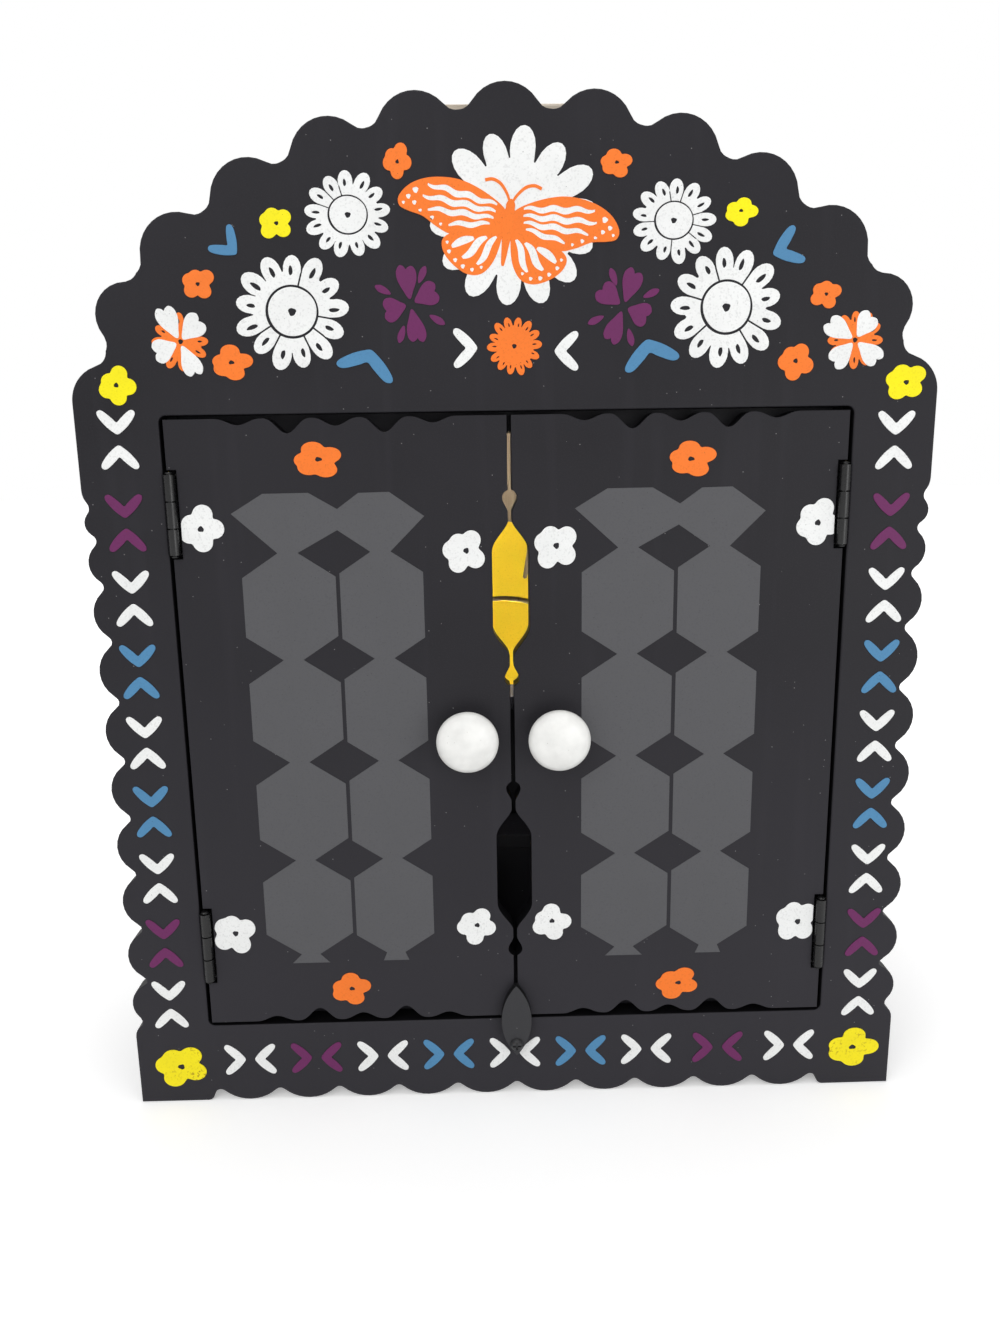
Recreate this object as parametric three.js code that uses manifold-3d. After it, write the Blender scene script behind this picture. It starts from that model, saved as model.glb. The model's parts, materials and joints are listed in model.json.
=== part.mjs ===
import * as THREE from "three";
import { mergeVertices } from "three/addons/utils/BufferGeometryUtils.js";
import Module from "manifold-3d";

const wasm = await Module();
wasm.setup();

// Sizes are in millimetres. +X is the viewer's right, +Y points to the back and +Z is up.
// Inside the altar group the front of the face frame is the plane y = 0 and the floor is z = 0.

// Gaps between neighbours.
const JOINT_GAP = 0.2;
const TURN_GAP = 0.5;
const HOLE_CLEARANCE = 0.3;
const HOLE_END_GAP = 0.5;

// Face frame: one board with a scalloped outline and the door opening.
const FRAME_WIDTH = 300;
const FRAME_THICKNESS = 9;
const STILE_WIDTH = 29;
const OPENING_HEIGHT = 233;
const OPENING_SILL = 33;
const OPENING_CORNER = 2.5;

// Crest: the valleys between its lobes lie on a circle, and an ear closes it at each side.
const CREST_TOP = 362.6;
const CREST_RADIUS = 180;
const CREST_LOBES = 11;
const CREST_END_LOBE_PITCHES = 0.6;
const CREST_LOBE_RISE = 8.4;
const CREST_VALLEY_RADIUS = 5;
const EAR_WIDTH = 13;
const EAR_HEIGHT = 17;
const EAR_VALLEY_DROP = 11.7;

// Side scallops: height of each valley over the floor and its depth. The list is spread to end below the ear.
const SIDE_VALLEYS = [
  [35, 3], [52.5, 6.3], [74.5, 6.3], [97, 6], [119.5, 6], [142, 6],
  [164.5, 6], [187, 5.5], [207, 4.5], [223.5, 3.5], [235, 2],
];
const SIDE_EAR_DROP = 35.65;
const SIDE_VALLEY_RADIUS = 2.5;
const SIDE_END_LENGTH = 6;

// Bottom scallops between the two flat feet.
const FOOT_WIDTH = 31.5;
const FOOT_END_LENGTH = 5;
const BOTTOM_LOBES = 10;
const BOTTOM_LOBE_RISE = 4.6;
const BOTTOM_VALLEY_RADIUS = 2.5;

// Doors: a flush pair with scalloped notches and a cut-out pattern where they meet.
const DOOR_THICKNESS = 8.6;
const DOOR_GAP = 1.3;
const MEETING_GAP = 1.4;
const NOTCH_SPACING = 16.9;
const NOTCH_DEPTHS = [2.2, 5.2, 2.8, 5.2, 2.2];
const NOTCH_SHARPNESS = 1.3;
const INNER_BEAD_TIP = 18.5;
const OUTER_BEAD_TIP = 89.5;
const BEAD_LENGTH = 7.5;
const BEAD_WIDTH = 5.3;
const BEAD_SKEW = 0.67;
const BEAD_SHARPNESS = 1.3;
const NECK_LENGTH = 3.6;
const LANTERN_WIDTH = 13.2;
const LANTERN_SHOULDER = 11;
const LANTERN_SHARPNESS = 1.45;

// Case behind the face frame.
const CASE_DEPTH = 90;
const SIDE_BOARD = 6;
const SIDE_LIP = 4;
const SHELF_BOARD = 10;
const SHELF_LIP = 7.5;
const RAIL_HEIGHT = 16;
const RAIL_DEPTH = 14;
const RAIL_LIP = 7;
const BACK_THICKNESS = 3;
const BACK_FLOOR_GAP = 2;
const BRACE_WIDTH = 60;
const BRACE_THICKNESS = 6;
const BRACE_SHOW = 3.6;

// Steps inside the case.
const TIERS = 2;
const TIER_RISE = 54;
const TIER_DEPTH = 24;
const TIER_BOARD = 6;
const TIER_NOSING = 2;

// Hinges: two leaves, three knuckles and a headed pin.
const HINGE_OFFSET = 82.5;
const HINGE_LENGTH = 28;
const KNUCKLE_RADIUS = 2;
const KNUCKLE_GAP = 0.4;
const HINGE_PROUD = 0.8;
const LEAF_THICKNESS = 0.9;
const LEAF_REACH = 8;
const LEAF_SEAT = 0.3;
const PIN_RADIUS = 0.9;
const PIN_HEAD_RADIUS = 1.6;
const PIN_HEAD_HEIGHT = 0.6;
const HINGE_SCREW_SPACING = 14;
const HINGE_SCREW_SHANK = 0.8;
const HINGE_SCREW_HEAD = 1.5;
const HINGE_SCREW_HEAD_HEIGHT = 0.6;
const HINGE_SCREW_LENGTH = 8;

// Knobs and the screws that hold them from the inside of the doors.
const KNOB_DIAMETER = 22.6;
const KNOB_PROJECTION = 15;
const KNOB_RIM_HEIGHT = 9.5;
const KNOB_BASE_RADIUS = 7;
const KNOB_BASE_HEIGHT = 1.6;
const KNOB_NECK_RADIUS = 5.2;
const KNOB_NECK_HEIGHT = 4.2;
const KNOB_INSET = 16;
const KNOB_BORE_DEPTH = 8;
const KNOB_SCREW_SHANK = 1.6;
const KNOB_SCREW_HEAD = 3.4;
const KNOB_SCREW_HEAD_HEIGHT = 1.8;
const KNOB_SCREW_BITE = 7;

// Turn button that holds both doors shut, and its screw.
const LATCH_HEIGHT = 24;
const LATCH_REACH = 25;
const LATCH_TAIL = 5;
const LATCH_WIDTH = 11.8;
const LATCH_THICKNESS = 3.4;
const LATCH_SCREW_SHANK = 1.2;
const LATCH_SCREW_HEAD = 2.5;
const LATCH_SCREW_HEAD_HEIGHT = 1.5;
const LATCH_SCREW_BITE = 6;
const CROSS_WIDTH = 0.8;
const CROSS_SPAN = 3.2;
const CROSS_DEPTH = 0.8;

// Nails through the back panel.
const NAIL_SHANK = 0.7;
const NAIL_HEAD = 1.4;
const NAIL_HEAD_HEIGHT = 0.6;
const NAIL_SUNK = 0.3;
const NAIL_LENGTH = 14;
const NAIL_INSET = 24;

// Values that follow from the sizes above.
const OPENING_WIDTH = FRAME_WIDTH - 2 * STILE_WIDTH;
const OPENING_TOP = OPENING_SILL + OPENING_HEIGHT;
const CREST_CENTRE = CREST_TOP - CREST_RADIUS;
const EAR_X = FRAME_WIDTH / 2 - EAR_WIDTH;
const EAR_ANGLE = Math.asin(EAR_X / CREST_RADIUS);
const EAR_VALLEY = CREST_CENTRE + CREST_RADIUS * Math.cos(EAR_ANGLE) - EAR_VALLEY_DROP;
const EAR_FOOT = EAR_VALLEY - EAR_HEIGHT;
const MID_HEIGHT = OPENING_SILL + OPENING_HEIGHT / 2;
const CASE_FRONT = FRAME_THICKNESS + JOINT_GAP;
const BACK_FRONT = CASE_DEPTH - BACK_THICKNESS;
const CASE_BACK = BACK_FRONT - JOINT_GAP;
const CASE_INNER = OPENING_WIDTH / 2 - SIDE_LIP;
const CASE_FLOOR = OPENING_SILL + SHELF_LIP;
const RAIL_UNDER = OPENING_TOP - RAIL_LIP;
const CASE_TOP = RAIL_UNDER + RAIL_HEIGHT;
const SHELF_WIDTH = 2 * (CASE_INNER - JOINT_GAP);
const DOOR_HEIGHT = OPENING_HEIGHT - 2 * DOOR_GAP;
const DOOR_HINGE_EDGE = OPENING_WIDTH / 2 - DOOR_GAP;
const DOOR_MEETING_EDGE = MEETING_GAP / 2;
const HINGE_X = OPENING_WIDTH / 2 - LEAF_SEAT - KNUCKLE_RADIUS;
const PIN_HALF = HINGE_LENGTH / 2 + KNUCKLE_GAP;
const HINGE_NOTCH_HALF = PIN_HALF + PIN_HEAD_HEIGHT + TURN_GAP;
const HINGE_NOTCH_X = HINGE_X - KNUCKLE_RADIUS - LEAF_SEAT;
const LEAF_START = KNUCKLE_RADIUS + TURN_GAP;
const LEAF_SCREW_Y = (LEAF_START + LEAF_REACH) / 2;
const KNOB_X = DOOR_MEETING_EDGE + KNOB_INSET;
const KNOB_FRONT = KNOB_PROJECTION + JOINT_GAP;
const NAIL_HEAD_SEAT = CASE_DEPTH - NAIL_SUNK - NAIL_HEAD_HEIGHT;

const PAINT = { color: 0x2f2e32, roughness: 0.6, metalness: 0 };
const BARE_WOOD = { color: 0xa88b65, roughness: 0.75, metalness: 0 };
const BLACK_METAL = { color: 0x1b1b1e, roughness: 0.45, metalness: 0.4 };
const WHITE_GLAZE = { color: 0xf2f2f0, roughness: 0.2, metalness: 0 };
const STEEL = { color: 0x9b9a96, roughness: 0.35, metalness: 0.9 };

/** Solid for joining and cutting, made from a closed geometry. */
function solidOf(geometry) {
  const bare = geometry.clone();
  bare.deleteAttribute("normal");
  bare.deleteAttribute("uv");
  const welded = mergeVertices(bare);
  const mesh = new wasm.Mesh({
    numProp: 3,
    vertProperties: welded.attributes.position.array,
    triVerts: new Uint32Array(welded.index.array),
  });
  return new wasm.Manifold(mesh);
}

/** Geometry of a solid. */
function geometryOf(solid) {
  const mesh = solid.getMesh();
  const geometry = new THREE.BufferGeometry();
  geometry.setAttribute("position", new THREE.BufferAttribute(mesh.vertProperties, 3));
  geometry.setIndex(new THREE.BufferAttribute(mesh.triVerts, 1));
  const faceted = geometry.toNonIndexed();
  faceted.computeVertexNormals();
  return faceted;
}

/** Geometry with every cutter taken out of it. */
function cut(geometry, cutters) {
  let solid = solidOf(geometry);
  for (const cutter of cutters) {
    solid = solid.subtract(solidOf(cutter));
  }
  return geometryOf(solid);
}

/** One geometry made of overlapping ones. */
function join(geometries) {
  let solid = solidOf(geometries[0]);
  for (const geometry of geometries.slice(1)) {
    solid = solid.add(solidOf(geometry));
  }
  return geometryOf(solid);
}

/** Named mesh of a geometry, with its finish and place. */
function piece(name, geometry, finish, x = 0, y = 0, z = 0) {
  const mesh = new THREE.Mesh(geometry, new THREE.MeshStandardMaterial(finish));
  mesh.name = name;
  mesh.position.set(x, y, z);
  return mesh;
}

/** Board with an outline in the XZ plane, from y = 0 to its thickness. */
function slab(outline, thickness) {
  const geometry = new THREE.ExtrudeGeometry(outline, { depth: thickness, bevelEnabled: false });
  return geometry.rotateX(Math.PI / 2).translate(0, thickness, 0);
}

/** Box between two corners. */
function block(x0, x1, y0, y1, z0, z1) {
  const geometry = new THREE.BoxGeometry(x1 - x0, y1 - y0, z1 - z0);
  return geometry.translate((x0 + x1) / 2, (y0 + y1) / 2, (z0 + z1) / 2);
}

/** Round bar along Y between two heights. */
function barY(radius, y0, y1, sides) {
  return new THREE.CylinderGeometry(radius, radius, y1 - y0, sides).translate(0, (y0 + y1) / 2, 0);
}

/** Round bar along X between two places. */
function barX(radius, x0, x1, sides) {
  return barY(radius, x0, x1, sides).rotateZ(-Math.PI / 2);
}

/** Round bar along Z between two heights. */
function barZ(radius, z0, z1, sides) {
  return barY(radius, z0, z1, sides).rotateX(Math.PI / 2);
}

/** Turned body around Y from points of radius and height, from its lower end up. */
function turned(points, sides) {
  const profile = points.map(([radius, height]) => new THREE.Vector2(radius, height));
  return new THREE.LatheGeometry(profile, sides);
}

/** Screw with its head seat at y = 0, the head above and the shank below. */
function screw(shank, length, head, headHeight, sides) {
  const points = [
    [0, -length], [shank, 2 * shank - length], [shank, 0], [head, 0],
    [head, headHeight * 0.4], [head * 0.7, headHeight], [0, headHeight],
  ];
  return turned(points, sides);
}

/** Height of a scallop over its chord, where a lobe arc runs tangent into a valley arc. */
function scallopHeight(distance, halfChord, rise, valleyRadius) {
  const radii = (halfChord ** 2 + rise ** 2) / (2 * rise);
  const lobeRadius = radii - valleyRadius;
  const tangent = (halfChord * valleyRadius) / radii;
  if (distance < tangent) {
    return valleyRadius - Math.sqrt(valleyRadius ** 2 - distance ** 2);
  }
  return rise - lobeRadius + Math.sqrt(lobeRadius ** 2 - (halfChord - distance) ** 2);
}

/** Points of a scallop from one valley to the next, the bulge on the right of the way. */
function scallop(from, to, rise, valleyRadius, steps, first, last) {
  const way = to.clone().sub(from);
  const chord = way.length();
  const along = way.clone().divideScalar(chord);
  const out = new THREE.Vector2(along.y, -along.x);
  const points = [];
  for (let step = first; step <= last; step += 1) {
    const share = (1 - Math.cos((Math.PI * step) / steps)) / 2;
    const near = Math.min(share, 1 - share) * chord;
    const height = scallopHeight(near, chord / 2, rise, valleyRadius);
    points.push(from.clone().addScaledVector(along, share * chord).addScaledVector(out, height));
  }
  return points;
}

/** Right half of the bottom edge, from the middle to the outer corner of the foot. */
function bottomEdge() {
  const steps = 16;
  const run = FRAME_WIDTH / 2 - FOOT_WIDTH;
  const pitch = (2 * run) / BOTTOM_LOBES;
  const points = [];
  for (let lobe = 0; lobe < BOTTOM_LOBES / 2; lobe += 1) {
    const from = new THREE.Vector2(lobe * pitch, BOTTOM_LOBE_RISE);
    const to = new THREE.Vector2((lobe + 1) * pitch, BOTTOM_LOBE_RISE);
    points.push(...scallop(from, to, BOTTOM_LOBE_RISE, BOTTOM_VALLEY_RADIUS, steps, 0, steps - 1));
  }
  const end = new THREE.Vector2(run, BOTTOM_LOBE_RISE);
  const mirror = new THREE.Vector2(run + 2 * FOOT_END_LENGTH, BOTTOM_LOBE_RISE);
  points.push(...scallop(end, mirror, BOTTOM_LOBE_RISE, BOTTOM_VALLEY_RADIUS, steps, 0, steps / 2));
  points.push(new THREE.Vector2(FRAME_WIDTH / 2, 0));
  return points;
}

/** Right side, from above the foot to below the ear. */
function sideEdge() {
  const steps = 14;
  const radius = SIDE_VALLEY_RADIUS;
  const heights = SIDE_VALLEYS.map(([height]) => height);
  const depths = SIDE_VALLEYS.map(([, depth]) => depth);
  const top = heights.length - 1;
  const spread = (EAR_FOOT - SIDE_EAR_DROP - heights[0]) / (heights[top] - heights[0]);
  const valleys = heights.map((height, index) => {
    const z = heights[0] + (height - heights[0]) * spread;
    return new THREE.Vector2(FRAME_WIDTH / 2 - depths[index], z);
  });
  const below = valleys[0].clone().add(new THREE.Vector2(0, -2 * SIDE_END_LENGTH));
  const above = valleys[top].clone().add(new THREE.Vector2(0, 2 * SIDE_END_LENGTH));
  const points = scallop(below, valleys[0], depths[0], radius, steps, steps / 2, steps - 1);
  for (let lobe = 0; lobe < top; lobe += 1) {
    const rise = (depths[lobe] + depths[lobe + 1]) / 2;
    points.push(...scallop(valleys[lobe], valleys[lobe + 1], rise, radius, steps, 0, steps - 1));
  }
  points.push(...scallop(valleys[top], above, depths[top], radius, steps, 0, steps / 2));
  return points;
}

/** Right half of the crest, from the ear to the middle. */
function crestEdge() {
  const steps = 20;
  const pitch = EAR_ANGLE / (CREST_LOBES / 2 - 1 + CREST_END_LOBE_PITCHES);
  const valleys = [new THREE.Vector2(EAR_X, EAR_VALLEY)];
  for (let index = (CREST_LOBES - 3) / 2; index >= -1; index -= 1) {
    const angle = (index + 0.5) * pitch;
    const height = CREST_CENTRE + CREST_RADIUS * Math.cos(angle);
    valleys.push(new THREE.Vector2(CREST_RADIUS * Math.sin(angle), height));
  }
  const below = new THREE.Vector2(EAR_X, EAR_VALLEY - 2 * EAR_HEIGHT);
  const points = scallop(below, valleys[0], EAR_WIDTH, CREST_VALLEY_RADIUS, 2 * steps, steps, 2 * steps - 1);
  for (let lobe = 0; lobe < valleys.length - 1; lobe += 1) {
    const last = lobe === valleys.length - 2 ? steps / 2 : steps - 1;
    const [from, to] = valleys.slice(lobe, lobe + 2);
    points.push(...scallop(from, to, CREST_LOBE_RISE, CREST_VALLEY_RADIUS, steps, 0, last));
  }
  return points;
}

/** Door opening with round corners. */
function openingOutline() {
  const right = OPENING_WIDTH / 2 - OPENING_CORNER;
  const low = OPENING_SILL + OPENING_CORNER;
  const high = OPENING_TOP - OPENING_CORNER;
  const outline = new THREE.Path();
  [[right, high], [-right, high], [-right, low], [right, low]].forEach(([x, z], quarter) => {
    const start = (quarter * Math.PI) / 2;
    outline.absarc(x, z, OPENING_CORNER, start, start + Math.PI / 2, false);
  });
  return outline;
}

/** Outline of the face frame with the door opening as its hole. */
function faceOutline() {
  const right = [...bottomEdge(), ...sideEdge(), ...crestEdge()];
  const left = right.slice(1, -1).reverse().map((point) => new THREE.Vector2(-point.x, point.y));
  const outline = new THREE.Shape([...right, ...left]);
  outline.holes.push(openingOutline());
  return outline;
}

/** Height of each hinge screw over the middle of its hinge. */
function hingeScrewHeights() {
  return [-HINGE_SCREW_SPACING / 2, HINGE_SCREW_SPACING / 2];
}

/** Face frame with the holes for the hinge screws and the latch screw. */
function faceFrame() {
  const holes = [];
  const radius = HINGE_SCREW_SHANK + HOLE_CLEARANCE;
  const edge = OPENING_WIDTH / 2;
  const deep = HINGE_X + KNUCKLE_RADIUS - LEAF_THICKNESS + HINGE_SCREW_LENGTH + HOLE_END_GAP;
  for (const side of [-1, 1]) {
    for (const level of [-1, 1]) {
      for (const height of hingeScrewHeights()) {
        const hole = barX(radius, edge - LEAF_SEAT, deep, 10);
        hole.rotateY(side < 0 ? Math.PI : 0);
        holes.push(hole.translate(0, LEAF_SCREW_Y - HINGE_PROUD, MID_HEIGHT + level * HINGE_OFFSET + height));
      }
    }
  }
  const latchHole = barY(LATCH_SCREW_SHANK + HOLE_CLEARANCE, -1, LATCH_SCREW_BITE + HOLE_END_GAP, 12);
  holes.push(latchHole.translate(0, 0, LATCH_HEIGHT));
  return piece("face_frame", cut(slab(faceOutline(), FRAME_THICKNESS), holes), PAINT);
}

/** Notched edge of a door from left to right, as points of place and depth. */
function doorNotches() {
  const steps = 14;
  const first = -(NOTCH_DEPTHS.length * NOTCH_SPACING) / 2;
  const points = [];
  NOTCH_DEPTHS.forEach((depth, index) => {
    for (let step = 0; step < steps; step += 1) {
      const share = step / steps;
      const bowl = ((1 - Math.cos(2 * Math.PI * share)) / 2) ** NOTCH_SHARPNESS;
      points.push([first + (index + share) * NOTCH_SPACING, depth * bowl]);
    }
  });
  points.push([-first, 0]);
  return points;
}

/** Half of the cut-out pattern on a meeting edge, as points of height and width of the cut. */
function meetingCuts() {
  const steps = 14;
  const shoulder = BEAD_LENGTH + NECK_LENGTH;
  const bead = [];
  const flare = [];
  for (let step = 0; step <= steps; step += 1) {
    const share = step / steps;
    const round = Math.sin(Math.PI * share ** BEAD_SKEW) ** BEAD_SHARPNESS;
    bead.push([share * BEAD_LENGTH, (round * (BEAD_WIDTH - MEETING_GAP)) / 2]);
    const bulge = Math.sin((Math.PI * share) / 2) ** LANTERN_SHARPNESS;
    flare.push([shoulder + share * LANTERN_SHOULDER, (bulge * (LANTERN_WIDTH - MEETING_GAP)) / 2]);
  }
  const end = [...bead, ...flare];
  const inner = end.map(([place, width]) => [INNER_BEAD_TIP + place, width]);
  const outer = end.map(([place, width]) => [OUTER_BEAD_TIP - place, width]).reverse();
  return [...inner, ...outer];
}

/** Outline of the left door around the middle height of the opening. */
function doorOutline() {
  const hinge = -DOOR_HINGE_EDGE;
  const meeting = -DOOR_MEETING_EDGE;
  const middle = (hinge + meeting) / 2;
  const half = DOOR_HEIGHT / 2;
  const bottom = doorNotches().map(([place, depth]) => [middle + place, depth - half]);
  const upper = meetingCuts().map(([height, width]) => [meeting - width, height]);
  const lower = upper.map(([x, height]) => [x, -height]).reverse();
  const top = bottom.map(([x, height]) => [x, -height]).reverse();
  const edge = [];
  for (const level of [1, -1]) {
    const centre = level * HINGE_OFFSET;
    edge.push([hinge, centre + HINGE_NOTCH_HALF], [-HINGE_NOTCH_X, centre + HINGE_NOTCH_HALF]);
    edge.push([-HINGE_NOTCH_X, centre - HINGE_NOTCH_HALF], [hinge, centre - HINGE_NOTCH_HALF]);
  }
  const points = [
    [hinge, -half], ...bottom, [meeting, -half], ...lower, ...upper,
    [meeting, half], ...top, [hinge, half], ...edge,
  ];
  return new THREE.Shape(points.map(([x, z]) => new THREE.Vector2(x, z)));
}

/** Left door with the holes for its hinge screws and its knob screw. */
function door(name) {
  const holes = [];
  const radius = HINGE_SCREW_SHANK + HOLE_CLEARANCE;
  const deep = HINGE_X - KNUCKLE_RADIUS + LEAF_THICKNESS - HINGE_SCREW_LENGTH - HOLE_END_GAP;
  for (const level of [-1, 1]) {
    for (const height of hingeScrewHeights()) {
      const hole = barX(radius, -HINGE_NOTCH_X - LEAF_SEAT, -deep, 10);
      holes.push(hole.translate(0, LEAF_SCREW_Y - HINGE_PROUD, level * HINGE_OFFSET + height));
    }
  }
  const knobHole = barY(KNOB_SCREW_SHANK + HOLE_CLEARANCE, -1, DOOR_THICKNESS + 1, 12);
  holes.push(knobHole.translate(-KNOB_X, 0, 0));
  return piece(name, cut(slab(doorOutline(), DOOR_THICKNESS), holes), PAINT);
}

/** Hinge leaf around the pin axis, its plate on the left for the frame or on the right for the door. */
function hingeLeaf(side, knuckles) {
  const outer = side * KNUCKLE_RADIUS;
  const inner = outer - side * LEAF_THICKNESS;
  const x0 = Math.min(outer, inner);
  const x1 = Math.max(outer, inner);
  const half = HINGE_LENGTH / 2;
  const bodies = [block(x0, x1, LEAF_START, LEAF_REACH, -half, half)];
  for (const [low, high] of knuckles) {
    bodies.push(block(x0, x1, 0, LEAF_START + LEAF_THICKNESS, low, high));
    bodies.push(barZ(KNUCKLE_RADIUS, low, high, 16));
  }
  const holes = [barZ(PIN_RADIUS + HOLE_CLEARANCE, -half - 1, half + 1, 12)];
  for (const height of hingeScrewHeights()) {
    const hole = barX(HINGE_SCREW_SHANK + HOLE_CLEARANCE, x0 - 1, x1 + 1, 10);
    holes.push(hole.translate(0, LEAF_SCREW_Y, height));
  }
  return cut(join(bodies), holes);
}

/** Pin with a head at each end. */
function hingePin() {
  const end = PIN_HALF + PIN_HEAD_HEIGHT;
  const points = [
    [0, -end], [PIN_HEAD_RADIUS * 0.7, -end], [PIN_HEAD_RADIUS, -PIN_HALF], [PIN_RADIUS, -PIN_HALF],
    [PIN_RADIUS, PIN_HALF], [PIN_HEAD_RADIUS, PIN_HALF], [PIN_HEAD_RADIUS * 0.7, end], [0, end],
  ];
  return turned(points, 12).rotateX(Math.PI / 2);
}

/** One hinge around its pin axis, with its four screws. */
function hinge(name) {
  const group = new THREE.Group();
  const third = (HINGE_LENGTH - 2 * KNUCKLE_GAP) / 3;
  const half = HINGE_LENGTH / 2;
  const ends = [[-half, third - half], [half - third, half]];
  const middle = [[-third / 2, third / 2]];
  const seat = KNUCKLE_RADIUS - LEAF_THICKNESS;
  group.add(piece(`${name}_frame_leaf`, hingeLeaf(-1, ends), BLACK_METAL));
  group.add(piece(`${name}_door_leaf`, hingeLeaf(1, middle), BLACK_METAL));
  group.add(piece(`${name}_pin`, hingePin(), BLACK_METAL));
  hingeScrewHeights().forEach((height, index) => {
    for (const [part, side] of [["frame", -1], ["door", 1]]) {
      const body = screw(
        HINGE_SCREW_SHANK, HINGE_SCREW_LENGTH, HINGE_SCREW_HEAD, HINGE_SCREW_HEAD_HEIGHT, 10,
      );
      const mesh = piece(`${name}_${part}_screw_${index + 1}`, body, BLACK_METAL);
      mesh.position.set(side * (seat - JOINT_GAP), LEAF_SCREW_Y, height);
      mesh.rotation.z = (side * Math.PI) / 2;
      group.add(mesh);
    }
  });
  return group;
}

/** Knob around Y with its base at y = 0, its front at the lower end and a blind bore at the back. */
function knob() {
  const radius = KNOB_DIAMETER / 2;
  const bore = KNOB_SCREW_SHANK + HOLE_CLEARANCE;
  const rim = -KNOB_RIM_HEIGHT;
  const points = [];
  for (let step = 0; step <= 8; step += 1) {
    const angle = (Math.PI * step) / 16;
    points.push([radius * Math.sin(angle), rim - (KNOB_PROJECTION - KNOB_RIM_HEIGHT) * Math.cos(angle)]);
  }
  for (let step = 1; step <= 6; step += 1) {
    const angle = (Math.PI * step) / 12;
    const height = rim + (KNOB_RIM_HEIGHT - KNOB_NECK_HEIGHT) * Math.sin(angle);
    points.push([KNOB_NECK_RADIUS + (radius - KNOB_NECK_RADIUS) * Math.cos(angle), height]);
  }
  points.push([KNOB_BASE_RADIUS, -KNOB_BASE_HEIGHT], [KNOB_BASE_RADIUS, 0]);
  points.push([bore, 0], [bore, -KNOB_BORE_DEPTH], [0, -KNOB_BORE_DEPTH]);
  return turned(points, 28);
}

/** One door with its knob and hinges, built for the left side. */
function doorSide(side) {
  const group = new THREE.Group();
  group.name = `${side}_side_set`;
  group.add(door(`${side}_door`));
  group.add(piece(`${side}_knob`, knob(), WHITE_GLAZE, -KNOB_X, -JOINT_GAP, 0));
  const length = DOOR_THICKNESS + 2 * JOINT_GAP + KNOB_SCREW_BITE;
  const body = screw(KNOB_SCREW_SHANK, length, KNOB_SCREW_HEAD, KNOB_SCREW_HEAD_HEIGHT, 12);
  group.add(piece(`${side}_knob_screw`, body, STEEL, -KNOB_X, DOOR_THICKNESS + JOINT_GAP, 0));
  const up = side === "left" ? 1 : -1;
  for (const [level, sign] of [["upper", up], ["lower", -up]]) {
    const set = hinge(`${side}_${level}_hinge`);
    set.position.set(-HINGE_X, -HINGE_PROUD, sign * HINGE_OFFSET);
    group.add(set);
  }
  group.position.z = MID_HEIGHT;
  group.rotation.y = side === "left" ? 0 : Math.PI;
  return group;
}

/** Turn button around its screw, its point up. */
function latch() {
  const half = (LATCH_REACH + LATCH_TAIL) / 2;
  const middle = LATCH_REACH - half;
  const radius = (half ** 2 + (LATCH_WIDTH / 2) ** 2) / LATCH_WIDTH;
  const offset = radius - LATCH_WIDTH / 2;
  const span = Math.asin(half / radius);
  const outline = new THREE.Shape();
  outline.absarc(-offset, middle, radius, -span, span, false);
  outline.absarc(offset, middle, radius, Math.PI - span, Math.PI + span, false);
  const plate = new THREE.Shape(outline.getPoints(20));
  const hole = barY(LATCH_SCREW_SHANK + HOLE_CLEARANCE, -1, LATCH_THICKNESS + 1, 16);
  return cut(slab(plate, LATCH_THICKNESS), [hole]);
}

/** Latch with the cross-headed screw that it turns on. */
function latchSet() {
  const group = new THREE.Group();
  group.name = "latch_set";
  const front = -TURN_GAP - LATCH_THICKNESS;
  group.add(piece("latch", latch(), PAINT, 0, front, 0));
  const length = LATCH_THICKNESS + TURN_GAP + JOINT_GAP + LATCH_SCREW_BITE;
  const body = screw(LATCH_SCREW_SHANK, length, LATCH_SCREW_HEAD, LATCH_SCREW_HEAD_HEIGHT, 16);
  const floor = LATCH_SCREW_HEAD_HEIGHT - CROSS_DEPTH;
  const over = LATCH_SCREW_HEAD_HEIGHT + 1;
  const wide = CROSS_SPAN / 2;
  const thin = CROSS_WIDTH / 2;
  const cross = [block(-wide, wide, floor, over, -thin, thin), block(-thin, thin, floor, over, -wide, wide)];
  const mesh = piece("latch_screw", cut(body, cross), BLACK_METAL, 0, front - JOINT_GAP, 0);
  mesh.rotation.x = Math.PI;
  group.add(mesh);
  group.position.z = LATCH_HEIGHT;
  return group;
}

/** Place of each nail on the back, by the board that it goes into. */
function nailPlaces() {
  const side = CASE_INNER + SIDE_BOARD / 2;
  const heights = [NAIL_INSET, CASE_TOP / 2, CASE_TOP - NAIL_INSET];
  return {
    left_side: heights.map((height) => [-side, height]),
    right_side: heights.map((height) => [side, height]),
    bottom_board: [[0, CASE_FLOOR - SHELF_BOARD / 2]],
  };
}

/** Case board with the nail holes in its back edge. */
function caseBoard(name, geometry) {
  const holes = nailPlaces()[name].map(([x, z]) => {
    const deep = NAIL_HEAD_SEAT - NAIL_LENGTH - HOLE_END_GAP;
    return barY(NAIL_SHANK + HOLE_CLEARANCE, deep, CASE_BACK + 1, 8).translate(x, 0, z);
  });
  return piece(name, cut(geometry, holes), PAINT);
}

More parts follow.
